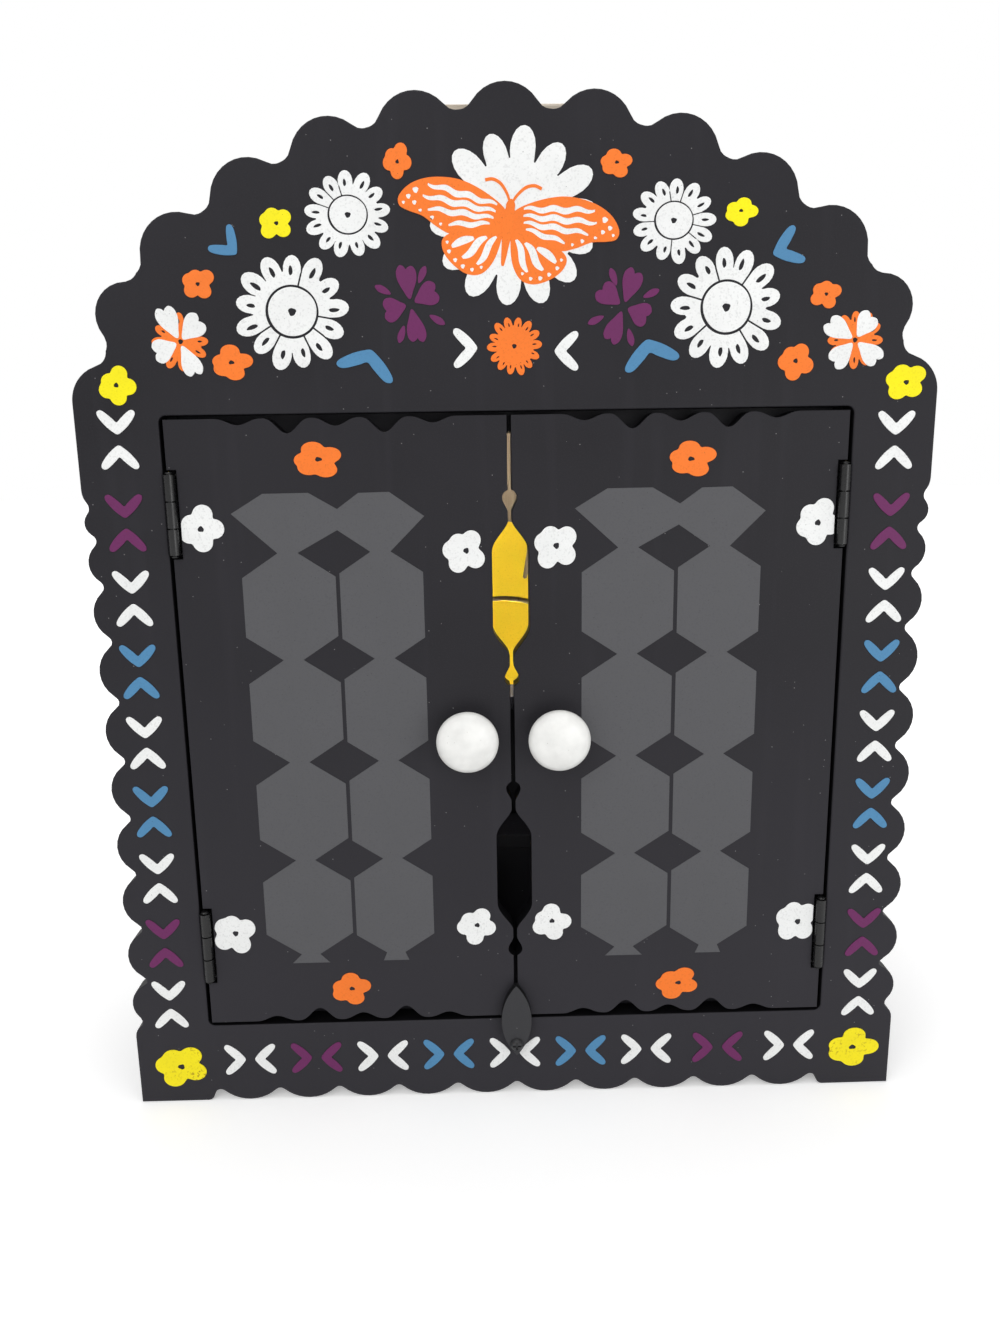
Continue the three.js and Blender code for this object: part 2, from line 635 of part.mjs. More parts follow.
/** Back panel with a counterbored hole for each nail. */
function backPanel() {
  const wide = CASE_INNER + SIDE_BOARD;
  const holes = [];
  for (const [x, z] of Object.values(nailPlaces()).flat()) {
    const hole = barY(NAIL_SHANK + HOLE_CLEARANCE, BACK_FRONT - 1, CASE_DEPTH + 1, 8);
    const bore = barY(NAIL_HEAD + HOLE_CLEARANCE, NAIL_HEAD_SEAT - JOINT_GAP, CASE_DEPTH + 1, 12);
    holes.push(hole.translate(x, 0, z), bore.translate(x, 0, z));
  }
  const panel = block(-wide, wide, BACK_FRONT, CASE_DEPTH, BACK_FLOOR_GAP, CASE_TOP);
  return piece("back_panel", cut(panel, holes), BARE_WOOD);
}

/** Boards of the case, which is open on top behind its rail, its back, the nails and the crest brace. */
function caseSet() {
  const group = new THREE.Group();
  group.name = "case_set";
  const wide = CASE_INNER + SIDE_BOARD;
  const shelf = SHELF_WIDTH / 2;
  group.add(caseBoard("left_side", block(-wide, -CASE_INNER, CASE_FRONT, CASE_BACK, 0, CASE_TOP)));
  group.add(caseBoard("right_side", block(CASE_INNER, wide, CASE_FRONT, CASE_BACK, 0, CASE_TOP)));
  const rail = block(-shelf, shelf, CASE_FRONT, CASE_FRONT + RAIL_DEPTH, RAIL_UNDER, CASE_TOP);
  group.add(piece("top_rail", rail, PAINT));
  const under = CASE_FLOOR - SHELF_BOARD;
  group.add(caseBoard("bottom_board", block(-shelf, shelf, CASE_FRONT, CASE_BACK, under, CASE_FLOOR)));
  group.add(backPanel());
  for (const [board, places] of Object.entries(nailPlaces())) {
    places.forEach(([x, z], index) => {
      const body = screw(NAIL_SHANK, NAIL_LENGTH, NAIL_HEAD, NAIL_HEAD_HEIGHT, 8);
      group.add(piece(`${board}_nail_${index + 1}`, body, STEEL, x, NAIL_HEAD_SEAT, z));
    });
  }
  const back = CASE_FRONT + BRACE_THICKNESS;
  const half = BRACE_WIDTH / 2;
  const brace = block(-half, half, CASE_FRONT, back, CASE_TOP + JOINT_GAP, CREST_TOP + BRACE_SHOW);
  group.add(piece("crest_brace", brace, BARE_WOOD));
  return group;
}

/** Steps on the floor of the case, each with a tread and a riser. */
function tierSet() {
  const group = new THREE.Group();
  group.name = "tier_set";
  const shelf = SHELF_WIDTH / 2;
  for (let tier = 1; tier <= TIERS; tier += 1) {
    const front = CASE_BACK - JOINT_GAP - (TIERS - tier + 1) * TIER_DEPTH;
    const top = CASE_FLOOR + tier * TIER_RISE;
    const under = top - TIER_BOARD;
    const foot = top - TIER_RISE + JOINT_GAP;
    const face = front + TIER_NOSING;
    const tread = block(-shelf, shelf, front, CASE_BACK - JOINT_GAP, under, top);
    const riser = block(-shelf, shelf, face, face + TIER_BOARD, foot, under - JOINT_GAP);
    group.add(piece(`tier_${tier}_tread`, tread, PAINT));
    group.add(piece(`tier_${tier}_riser`, riser, PAINT));
  }
  return group;
}

const altar = new THREE.Group();
altar.name = "altar";
altar.add(faceFrame());
altar.add(caseSet());
altar.add(tierSet());
altar.add(doorSide("left"));
altar.add(doorSide("right"));
altar.add(latchSet());

// The origin is on the floor, in the middle between the knob fronts and the back.
altar.position.y = (KNOB_FRONT - CASE_DEPTH) / 2;

const root = new THREE.Group();
root.add(altar);

export default root;
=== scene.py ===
"""Looks of a small wooden ofrenda altar with painted flowers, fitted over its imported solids."""

from __future__ import annotations

import json
import logging
import math
import random
from collections.abc import Callable, Mapping, Sequence
from dataclasses import dataclass, field
from enum import Enum

import bpy
from mathutils import Matrix, Vector

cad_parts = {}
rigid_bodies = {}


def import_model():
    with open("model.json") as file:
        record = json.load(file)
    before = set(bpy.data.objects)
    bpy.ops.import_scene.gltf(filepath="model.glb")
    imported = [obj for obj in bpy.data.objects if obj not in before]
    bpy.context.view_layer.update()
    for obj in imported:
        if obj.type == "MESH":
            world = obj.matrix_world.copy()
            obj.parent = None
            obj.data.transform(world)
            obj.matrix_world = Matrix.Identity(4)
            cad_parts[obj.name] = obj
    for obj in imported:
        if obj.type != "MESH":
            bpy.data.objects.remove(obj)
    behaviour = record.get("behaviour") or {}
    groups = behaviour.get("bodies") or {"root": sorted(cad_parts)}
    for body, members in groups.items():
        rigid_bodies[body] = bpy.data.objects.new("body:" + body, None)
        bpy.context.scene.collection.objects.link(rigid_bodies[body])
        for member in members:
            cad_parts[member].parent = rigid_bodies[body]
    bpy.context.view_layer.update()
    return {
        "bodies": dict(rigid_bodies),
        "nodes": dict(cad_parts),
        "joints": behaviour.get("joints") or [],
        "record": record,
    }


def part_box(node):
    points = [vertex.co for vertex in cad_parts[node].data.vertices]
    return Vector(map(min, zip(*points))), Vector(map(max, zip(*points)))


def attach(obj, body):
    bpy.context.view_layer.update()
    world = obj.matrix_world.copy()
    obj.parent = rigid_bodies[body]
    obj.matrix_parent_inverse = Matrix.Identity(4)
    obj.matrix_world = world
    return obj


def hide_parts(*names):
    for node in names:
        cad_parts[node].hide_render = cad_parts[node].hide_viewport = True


LOG = logging.getLogger("altar")
MM = 0.001
WELD = 0.001 * MM
FACE_NEAR = 0.02 * MM
NAIL_HOLE_EDGE = 3.0 * MM
SQUARE_DOT = 0.5
EDGE_SLOPE = 0.6
EASE_STEPS = 3
ROUND_STEPS = 2
FLAT_ANGLE = math.radians(1.0)
BREAK_ANGLE = math.radians(45.0)
BOARD_SMOOTH, FITTING_SMOOTH, KNOB_SMOOTH = 40.0, 42.0, 60.0
QUARTER = math.pi / 2
RAMP_ENDS = (0.3, 0.7)
WHITE_LIGHT = (1.0, 1.0, 1.0, 1.0)
# mask of the side faces that the finishes darken as painted shade
SHADED_SIDE_FACES = "cut_edge"

Point = tuple[float, float]
Triple = tuple[float, float, float]
Loop = tuple[Point, ...]
Cell = tuple[Point, Point, float, float]
Colour = tuple[int, int, int]
Linear = tuple[float, float, float, float]
Piece = bpy.types.Object
Socket = bpy.types.NodeSocket


class Body(Enum):
    """Moving bodies of the altar."""

    ALTAR = "altar"
    LEFT_DOOR = "left_door"
    RIGHT_DOOR = "right_door"
    LATCH = "latch"


class Slot(Enum):
    """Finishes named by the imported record."""

    BLACK_PAINT = "black_paint"
    BARE_WOOD = "bare_wood"
    BLACK_METAL = "black_metal"
    WHITE_GLAZE = "white_glaze"
    STEEL = "steel"


class Rim(Enum):
    """Which edges of a board are eased."""

    FACES = "edges around the front and back face"
    LONG = "every long square edge"


class Heading(Enum):
    """Way that the point of a chevron looks, in degrees from the right."""

    RIGHT = 0.0
    UP = 90.0
    LEFT = 180.0
    DOWN = 270.0


def linear(colour: Colour, gain: float = 1.0) -> Linear:
    """Turn a colour of 0 to 255 into the shader's linear values.

    Args:
        colour: Red, green and blue as seen on a screen.
        gain: Factor on the linear values.

    Returns:
        The linear colour with full opacity.
    """
    shares = [part / 255.0 for part in colour]
    values = [s / 12.92 if s <= 0.04045 else ((s + 0.055) / 1.055) ** 2.4 for s in shares]
    red, green, blue = (min(1.0, value * gain) for value in values)
    return (red, green, blue, 1.0)


class NodeSheet:
    """Node tree of a finish or of the surroundings, with short calls that add joined nodes."""

    def __init__(self, owner: bpy.types.Material | bpy.types.World) -> None:
        """Start with an empty tree.

        Args:
            owner: Material or world that has the tree.
        """
        owner.use_nodes = True
        self.tree = owner.node_tree
        self.tree.nodes.clear()

    def add(
        self,
        kind: str,
        output: int | str = 0,
        inputs: Mapping[int | str, object] | None = None,
        **settings: str,
    ) -> Socket:
        """Add a node, set it up, and set or join its inputs.

        Args:
            kind: Kind of node.
            output: Name or number of the wanted output.
            inputs: Value or socket for each input, by name or number.
            settings: Values of the node's own properties.

        Returns:
            The wanted output.
        """
        node = self.tree.nodes.new(f"ShaderNode{kind}")
        for name, value in settings.items():
            setattr(node, name, value)
        for place, value in (inputs or {}).items():
            if isinstance(value, Socket):
                self.tree.links.new(value, node.inputs[place])
            else:
                node.inputs[place].default_value = value
        return node.outputs[output]

    def end(self, kind: str, surface: Socket) -> None:
        """Join a shader to an output node of the given kind."""
        output = self.tree.nodes.new(f"ShaderNodeOutput{kind}")
        self.tree.links.new(surface, output.inputs["Surface"])

    def place(self) -> Socket:
        """The piece's own coordinates in metres."""
        return self.add("TexCoord", "Object")

    def height(self) -> Socket:
        """Height above the floor in metres."""
        return self.add("SeparateXYZ", "Z", {0: self.place()})

    def attribute(self, name: str) -> Socket:
        """Number stored on the mesh."""
        return self.add("Attribute", "Fac", attribute_name=name)

    def noise(self, scale: float, detail: float = 2.0, stretch: Triple = (1.0, 1.0, 1.0)) -> Socket:
        """Noise with its spots per metre and finer steps, drawn out along a small stretch."""
        place = self.add("Mapping", 0, {"Vector": self.place(), "Scale": stretch})
        return self.add("TexNoise", 0, {"Vector": place, "Scale": scale, "Detail": detail})

    def math(self, operation: str, first: Socket, second: Socket | float) -> Socket:
        """Result of an operation on two values."""
        return self.add("Math", 0, {0: first, 1: second}, operation=operation)

    def spread(
        self, value: Socket, low: float, high: float, start: float = 0.3, end: float = 0.7
    ) -> Socket:
        """Value that goes from low to high between start and end, and holds at both."""
        return self.add("MapRange", 0, {0: value, 1: start, 2: end, 3: low, 4: high})

    def dots(self, scale: float, radius: float, share: float) -> Socket:
        """Add a mask of sparse round dots.

        Args:
            scale: Cells per metre.
            radius: Radius of a dot as a share of a cell.
            share: Share of the cells that have a dot.

        Returns:
            A mask that is 1 inside a dot.
        """
        away = self.add("TexVoronoi", "Distance", {"Vector": self.place(), "Scale": scale})
        chance = self.add("SeparateColor", 0, {0: away.node.outputs["Color"]})
        inside = self.math("LESS_THAN", away, radius)
        return self.math("MULTIPLY", inside, self.math("LESS_THAN", chance, share))

    def ramp(self, value: Socket, low: Linear, high: Linear) -> Socket:
        """Colour a value between two colours.

        Args:
            value: Value from 0 to 1.
            low: Colour of low values.
            high: Colour of high values.

        Returns:
            The colour.
        """
        tone = self.add("ValToRGB", 0, {0: value})
        for element, place, colour in zip(tone.node.color_ramp.elements, RAMP_ENDS, (low, high)):
            element.position = place
            element.color = colour
        return tone

    def tint(self, tone: Socket, *layers: tuple[Socket, Linear]) -> Socket:
        """Lay colours over a colour.

        Args:
            tone: Lowest colour.
            layers: Mask and colour of each layer, from below.

        Returns:
            The mixed colour.
        """
        for mask, over in layers:
            tone = self.add("Mix", 2, {0: mask, 6: tone, 7: over}, data_type="RGBA")
        return tone

    def relief(self, *layers: tuple[Socket, float, float]) -> Socket:
        """Lay bumps over each other.

        Args:
            layers: Height, strength and distance in millimetres of each layer.

        Returns:
            The bumped normal.
        """
        normal: dict[int | str, Socket] = {}
        for height, strength, distance in layers:
            bump = {"Height": height, "Strength": strength, "Distance": distance * MM}
            normal = {"Normal": self.add("Bump", "Normal", {**bump, **normal})}
        return normal["Normal"]

    def shade(self, colour: Socket, roughness: Socket, **values: Socket | float | Linear) -> None:
        """Give the sheet its shader.

        Args:
            colour: Base colour.
            roughness: Roughness.
            values: The shader's other inputs, with spaces written as underscores.
        """
        inputs = {name.replace("_", " "): value for name, value in values.items()}
        inputs |= {"Base Color": colour, "Roughness": roughness}
        self.end("Material", self.add("BsdfPrincipled", 0, inputs))


@dataclass(frozen=True)
class Finish:
    """Procedural finish that is built once, under its name."""

    name: str
    colour: Colour

    def material(self) -> bpy.types.Material:
        """Build the finish if it isn't there yet.

        Returns:
            Its material.
        """
        if self.name not in bpy.data.materials:
            self.lay(NodeSheet(bpy.data.materials.new(self.name)))
        return bpy.data.materials[self.name]

    def tone(self, gain: float = 1.0) -> Linear:
        """Its linear colour, made lighter or darker."""
        return linear(self.colour, gain)

    def lay(self, sheet: NodeSheet) -> None:
        """Lay the finish on an empty sheet."""
        raise NotImplementedError


@dataclass(frozen=True)
class BoardPaint(Finish):
    """Satin paint sprayed on board, with a soft mottle, streaks, a fine tooth and side faces
    darkened as painted shade.

    Dust lies on it as dots, and a painted sheen of the floor's reflection lightens it towards the
    floor.
    """

    dust: Colour = (120, 118, 120)
    gloss: Point = (0.44, 0.60)
    # darkening of the side faces: painted shade
    edge: float = 0.30
    # strength of the painted sheen of the floor's reflection, lighter towards the floor
    painted_floor_sheen: float = 0.5

    def lay(self, sheet: NodeSheet) -> None:
        """Lay the paint, the dust and the cut edges.

        Args:
            sheet: Empty sheet.
        """
        cloud = sheet.noise(16.0, 3.0)
        streak = sheet.noise(110.0, 3.0, (1.0, 1.0, 0.06))
        tooth = sheet.noise(1900.0)
        tone = sheet.tint(
            sheet.ramp(cloud, self.tone(0.84), self.tone(1.16)),
            (sheet.spread(streak, 0.0, 0.35, 0.56, 0.76), self.tone(1.7)),
            (sheet.spread(tooth, 0.0, 0.5, 0.5, 0.75), self.tone(1.45)),
            # painted sheen: lighter towards the floor, standing for the bright floor's reflection
            (sheet.spread(sheet.height(), self.painted_floor_sheen, 0.0, 0.05, 0.18), self.tone(2.0)),
            (sheet.dots(260.0, 0.05, 0.5), linear(self.dust)),
            # side faces darkened: painted shade
            (sheet.attribute(SHADED_SIDE_FACES), self.tone(self.edge)),
        )
        sheet.shade(
            tone,
            sheet.spread(cloud, *self.gloss),
            Specular_IOR_Level=0.16,
            Normal=sheet.relief((sheet.noise(70.0), 0.25, 0.25), (tooth, 0.30, 0.05)),
        )


@dataclass(frozen=True)
class InkPaint(Finish):
    """Thick printed paint with a grainy face, pinholes and, where it was rubbed, scuffs."""

    grain: float = 0.86
    scuff: Colour | None = None

    def lay(self, sheet: NodeSheet) -> None:
        """Lay the paint and its scuffs.

        Args:
            sheet: Empty sheet.
        """
        cloud = sheet.noise(55.0, 3.0)
        grain = sheet.noise(1500.0)
        tone = sheet.tint(
            sheet.ramp(cloud, self.tone(0.94), self.tone(1.03)),
            (sheet.spread(grain, 0.0, 0.8, 0.54, 0.72), self.tone(self.grain)),
            (sheet.dots(700.0, 0.10, 0.12), self.tone(0.45)),
        )
        if self.scuff is not None:
            rubbed = sheet.spread(sheet.noise(120.0), 0.0, 1.0, 0.50, 0.62)
            flecks = sheet.spread(sheet.noise(850.0, 3.0), 0.0, 0.75, 0.53, 0.62)
            tone = sheet.tint(tone, (sheet.math("MULTIPLY", rubbed, flecks), linear(self.scuff)))
        sheet.shade(
            tone,
            sheet.spread(cloud, 0.50, 0.66),
            Specular_IOR_Level=0.3,
            Normal=sheet.relief((sheet.noise(260.0), 0.25, 0.12), (grain, 0.40, 0.05)),
        )


@dataclass(frozen=True)
class BareWood(Finish):
    """Unpainted pale wood with darker bands, fibres and fine pores along one axis.

    Its side faces, the cut edges, are darkened to brown as painted shade.
    """

    dark: Colour
    # brown of the side faces: painted shade
    edge: Colour = (104, 86, 54)
    along: Triple = (1.0, 1.0, 0.06)

    def lay(self, sheet: NodeSheet) -> None:
        """Lay the wood and its cut edges.

        Args:
            sheet: Empty sheet.
        """
        x, y, z = self.along
        bands = sheet.noise(85.0, 3.0, self.along)
        fibres = sheet.noise(620.0, 3.0, self.along)
        pores = sheet.noise(1500.0, 1.0, (0.5 * x, 0.5 * y, 0.5 * z))
        tone = sheet.tint(
            sheet.ramp(bands, linear(self.dark), self.tone()),
            (sheet.spread(fibres, 0.0, 0.45, 0.48, 0.7), linear(self.dark, 0.75)),
            (sheet.spread(pores, 0.0, 0.5, 0.6, 0.72), linear(self.dark, 0.5)),
            # side faces darkened to brown: painted shade
            (sheet.attribute(SHADED_SIDE_FACES), linear(self.edge)),
        )
        sheet.shade(
            tone,
            sheet.spread(fibres, 0.62, 0.78),
            Specular_IOR_Level=0.25,
            Normal=sheet.relief((fibres, 0.35, 0.08), (pores, 0.3, 0.05)),
        )


@dataclass(frozen=True)
class Enamel(Finish):
    """Hard smooth coat on metal or turned wood, with a faint ripple and a few specks."""

    speck: Colour
    gloss: Point
    coat: float = 0.0

    def lay(self, sheet: NodeSheet) -> None:
        """Lay the coat and its specks.

        Args:
            sheet: Empty sheet.
        """
        ripple = sheet.noise(420.0)
        tone = sheet.ramp(sheet.noise(140.0, 3.0), self.tone(0.9), self.tone(1.06))
        sheet.shade(
            sheet.tint(tone, (sheet.dots(420.0, 0.06, 0.35), linear(self.speck))),
            sheet.spread(ripple, *self.gloss),
            Specular_IOR_Level=0.42,
            Coat_Weight=self.coat,
            Coat_Roughness=0.18,
            Normal=sheet.relief((ripple, 0.18, 0.08), (sheet.noise(2400.0, 1.0), 0.12, 0.02)),
        )


@dataclass(frozen=True)
class ZincSteel(Finish):
    """Plated steel with cloudy plating and fine turning marks."""

    def lay(self, sheet: NodeSheet) -> None:
        """Lay the plating.

        Args:
            sheet: Empty sheet.
        """
        marks = sheet.noise(2600.0, 2.0, (1.0, 1.0, 0.2))
        tone = sheet.ramp(sheet.noise(330.0, 3.0), self.tone(0.78), self.tone(1.1))
        bumps = sheet.relief((marks, 0.25, 0.03))
        sheet.shade(tone, sheet.spread(marks, 0.28, 0.5), Metallic=1.0, Normal=bumps)


@dataclass(frozen=True)
class FloorPaper(Finish):
    """Pale paper that glows to the eye and in reflections, less so near its middle."""

    bright: Colour
    glow: float

    def lay(self, sheet: NodeSheet) -> None:
        """Lay the paper and its glow.

        Args:
            sheet: Empty sheet.
        """
        cloud = sheet.noise(3.0)
        away = sheet.add("VectorMath", "Value", {0: sheet.place()}, operation="LENGTH")
        glow = sheet.spread(away, 0.45 * self.glow, self.glow, 0.15, 0.6)
        camera = sheet.add("LightPath", "Is Camera Ray")
        seen = sheet.math("MAXIMUM", camera, camera.node.outputs["Is Glossy Ray"])
        sheet.shade(
            sheet.ramp(cloud, self.tone(), linear(self.bright)),
            sheet.spread(cloud, 0.7, 0.8),
            Specular_IOR_Level=0.1,
            Emission_Color=WHITE_LIGHT,
            Emission_Strength=sheet.math("MULTIPLY", seen, glow),
        )


BOARD_BLACK = BoardPaint("black_board_paint", (37, 36, 40))
LATCH_BLACK = BoardPaint("black_latch_paint", (47, 47, 49), gloss=(0.5, 0.64))
PANEL_WOOD = BareWood("pale_panel_wood", (164, 145, 118), (136, 117, 92))
# paler copy of the bare wood: painted light on the strip behind the crest
LIT_BRACE_WOOD = BareWood("white_brace_wood", (238, 226, 210), (222, 206, 184), along=(0.06, 1.0, 1.0))
METAL_BLACK = Enamel("black_enamel", (15, 15, 16), (60, 60, 62), (0.22, 0.34))
SCREW_BLACK = Enamel("black_screw_enamel", (46, 46, 48), (80, 80, 82), (0.36, 0.50))
KNOB_WHITE = Enamel("white_knob_paint", (240, 240, 237), (196, 194, 188), (0.30, 0.42), 0.25)
STEEL_BRIGHT = ZincSteel("zinc_steel", (176, 176, 172))
FLOOR_PAPER = FloorPaper("pale_floor_paper", (240, 240, 240), (246, 246, 246), 0.74)


class Ink(Enum):
    """Paints of the ornaments."""

    WHITE = InkPaint("white_ink", (240, 241, 240), 0.80)
    ORANGE = InkPaint("orange_ink", (248, 124, 42))
    YELLOW = InkPaint("yellow_ink", (250, 236, 8))
    RUBBED_YELLOW = InkPaint("rubbed_yellow_ink", (252, 234, 20), 0.86, (150, 112, 20))
    BLUE = InkPaint("blue_ink", (79, 135, 177))
    PURPLE = InkPaint("purple_ink", (105, 36, 90))
    GREY = InkPaint("grey_ink", (84, 84, 87))
    SUN = InkPaint("sun_ink", (250, 206, 40))


@dataclass(frozen=True)
class Drawing:
    """Closed outlines in millimetres. An outline inside another is a hole."""

    loops: tuple[Loop, ...] = ()

    def __add__(self, other: Drawing) -> Drawing:
        """Both drawings together."""
        return Drawing(self.loops + other.loops)

    def each(self, rule: Callable[[float, float], Point]) -> Drawing:
        """The drawing with a rule used on every point."""
        return Drawing(tuple(tuple(rule(x, z) for x, z in loop) for loop in self.loops))

    def turned(self, degrees: float) -> Drawing:
        """The drawing turned about its origin, counter-clockwise as seen from the front."""
        cos, sin = math.cos(math.radians(degrees)), math.sin(math.radians(degrees))
        return self.each(lambda x, z: (x * cos - z * sin, x * sin + z * cos))

    def scaled(self, wide: float, high: float) -> Drawing:
        """The drawing stretched about its origin."""
        return self.each(lambda x, z: (x * wide, z * high))

    def moved(self, right: float, up: float) -> Drawing:
        """The drawing moved."""
        return self.each(lambda x, z: (x + right, z + up))

    def trimmed(self, reach: float) -> Drawing:
        """The drawing cut flat where it would go further than a reach to the left or right."""
        return self.each(lambda x, z: (max(-reach, min(reach, x)), z))


@dataclass(frozen=True)
class Mark:
    """Place and size of one painted motif, in millimetres from the middle of the floor line."""

    x: float
    z: float
    wide: float
    high: float
    turn: float = 0.0
    seed: int = 0

    def put(self, drawing: Drawing) -> Drawing:
        """Turn a drawing, stretch it to this size and move it here.

        Args:
            drawing: Drawing of any size.

        Returns:
            The drawing in place.
        """
        turned = drawing.turned(self.turn)
        xs, zs = zip(*(point for loop in turned.loops for point in loop))
        middle = turned.moved(-(min(xs) + max(xs)) / 2, -(min(zs) + max(zs)) / 2)
        sized = middle.scaled(self.wide / (max(xs) - min(xs)), self.high / (max(zs) - min(zs)))
        return sized.moved(self.x, self.z)


def polar(radius: float, angle: float) -> Point:
    """Point at a radius and an angle in radians."""
    return (radius * math.cos(angle), radius * math.sin(angle))


def mirrored(loop: Loop) -> Loop:
    """The outline mirrored left to right."""
    return tuple((-x, z) for x, z in reversed(loop))


def ring(radius: float, count: int, wobble: float = 0.0, centre: Point = (0.0, 0.0)) -> Loop:
    """Draw a round outline.

    Args:
        radius: Radius of the outline.
        count: Number of points.
        wobble: Share by which the radius wavers, as in a line drawn by hand.
        centre: Middle of the outline.

    Returns:
        The outline.
    """
    points = []
    for step in range(count):
        angle = math.tau * step / count
        waver = wobble * math.sin(3.0 * angle + 0.7) + 0.5 * wobble * math.sin(5.0 * angle)
        x, z = polar(radius * (1.0 + waver), angle)
        points.append((x + centre[0], z + centre[1]))
    return tuple(points)


def spline(points: Sequence[Point], steps: int, closed: bool = True) -> Loop:
    """Draw a smooth line through points.

    Args:
        points: Points on the line.
        steps: Steps between two points.
        closed: Whether the line comes back to its start.

    Returns:
        Points along the smooth line.
    """
    count = len(points)
    line = []
    for index in range(count if closed else count - 1):
        places = range(index - 1, index + 3)
        near = [points[p % count if closed else min(max(p, 0), count - 1)] for p in places]
        for step in range(steps):
            t = step / steps
            weights = (
                -0.5 * t + t * t - 0.5 * t**3,
                1.0 - 2.5 * t * t + 1.5 * t**3,
                0.5 * t + 2.0 * t * t - 1.5 * t**3,
                -0.5 * t * t + 0.5 * t**3,
            )
            x, z = (sum(w * p[axis] for w, p in zip(weights, near)) for axis in (0, 1))
            line.append((x, z))
    return tuple(line) if closed else (*line, points[-1])


def stroke(points: Sequence[Point], half: float, taper: float) -> Loop:
    """Draw a brush stroke along a smooth line, thinner at its start.

    Args:
        points: Points along the middle of the stroke.
        half: Half the width.
        taper: Share of the width at the start.

    Returns:
        The outline of the stroke.
    """
    line = spline(points, 8, False)
    left, right = [], []
    for index, (x, z) in enumerate(line):
        before, after = line[max(index - 1, 0)], line[min(index + 1, len(line) - 1)]
        dx, dz = after[0] - before[0], after[1] - before[1]
        length = math.hypot(dx, dz)
        width = half * (taper + (1.0 - taper) * min(1.0, 2.0 * index / len(line)))
        left.append((x - dz / length * width, z + dx / length * width))
        right.append((x + dz / length * width, z - dx / length * width))
    return tuple(left + right[::-1])


def wavy_cell(start: Point, end: Point, half: float, waves: float) -> Loop:
    """Draw a long wavy cell that is thin at both ends.

    Args:
        start: One end.
        end: Other end.
        half: Half the width in the middle.
        waves: Number of waves.

    Returns:
        The outline of the cell.
    """
    steps, swing = 36, 0.38
    dx, dz = end[0] - start[0], end[1] - start[1]
    length = math.hypot(dx, dz)
    nx, nz = -dz / length, dx / length
    upper, lower = [], []
    for step in range(steps + 1):
        t = step / steps
        width = half * math.sqrt(max(math.sin(math.pi * (0.04 + 0.92 * t)), 0.0))
        sway = half * swing * math.sin(math.tau * waves * t)
        x, z = start[0] + dx * t, start[1] + dz * t
        upper.append((x + nx * (sway + width), z + nz * (sway + width)))
        lower.append((x + nx * (sway - width), z + nz * (sway - width)))
    return tuple(upper + lower[::-1])


def five_petal(seed: int) -> Drawing:
    """Draw a flower of five uneven round petals around a small open eye.

    Args:
        seed: Seed of the uneven petals.

    Returns:
        The flower, with a radius of about 1.
    """
    rng = random.Random(seed)
    count, core, lobe = 120, 0.62, 0.41
    petals = []
    for bearing, reach in ((12.0, 1.0), (84.0, 0.86), (136.0, 0.94), (202.0, 1.02), (288.0, 0.95)):
        turn = math.radians(bearing + rng.uniform(-6.0, 6.0))
        petals.append((turn, reach * rng.uniform(0.95, 1.05) - lobe))
    radii = []
    for step in range(count):
        best = core
        for turn, middle in petals:
            ahead = middle * math.cos(math.tau * step / count - turn)
            aside = middle * math.sin(math.tau * step / count - turn)
            if ahead > 0.0 and abs(aside) < lobe:
                best = max(best, ahead + math.sqrt(lobe * lobe - aside * aside))
        radii.append(best)
    points = []
    for step in range(count):
        soft = sum(radii[(step + shift) % count] for shift in range(-2, 3)) / 5
        points.append(polar(soft, math.tau * step / count))
    eye = ring(0.14, 16, 0.10, (rng.uniform(-0.06, 0.06), rng.uniform(-0.06, 0.06)))
    return Drawing((tuple(points), eye))


def small_flowers(marks: Sequence[Mark]) -> list[Drawing]:
    """Flowers of five petals at their marks."""
    return [mark.put(five_petal(mark.seed)) for mark in marks]


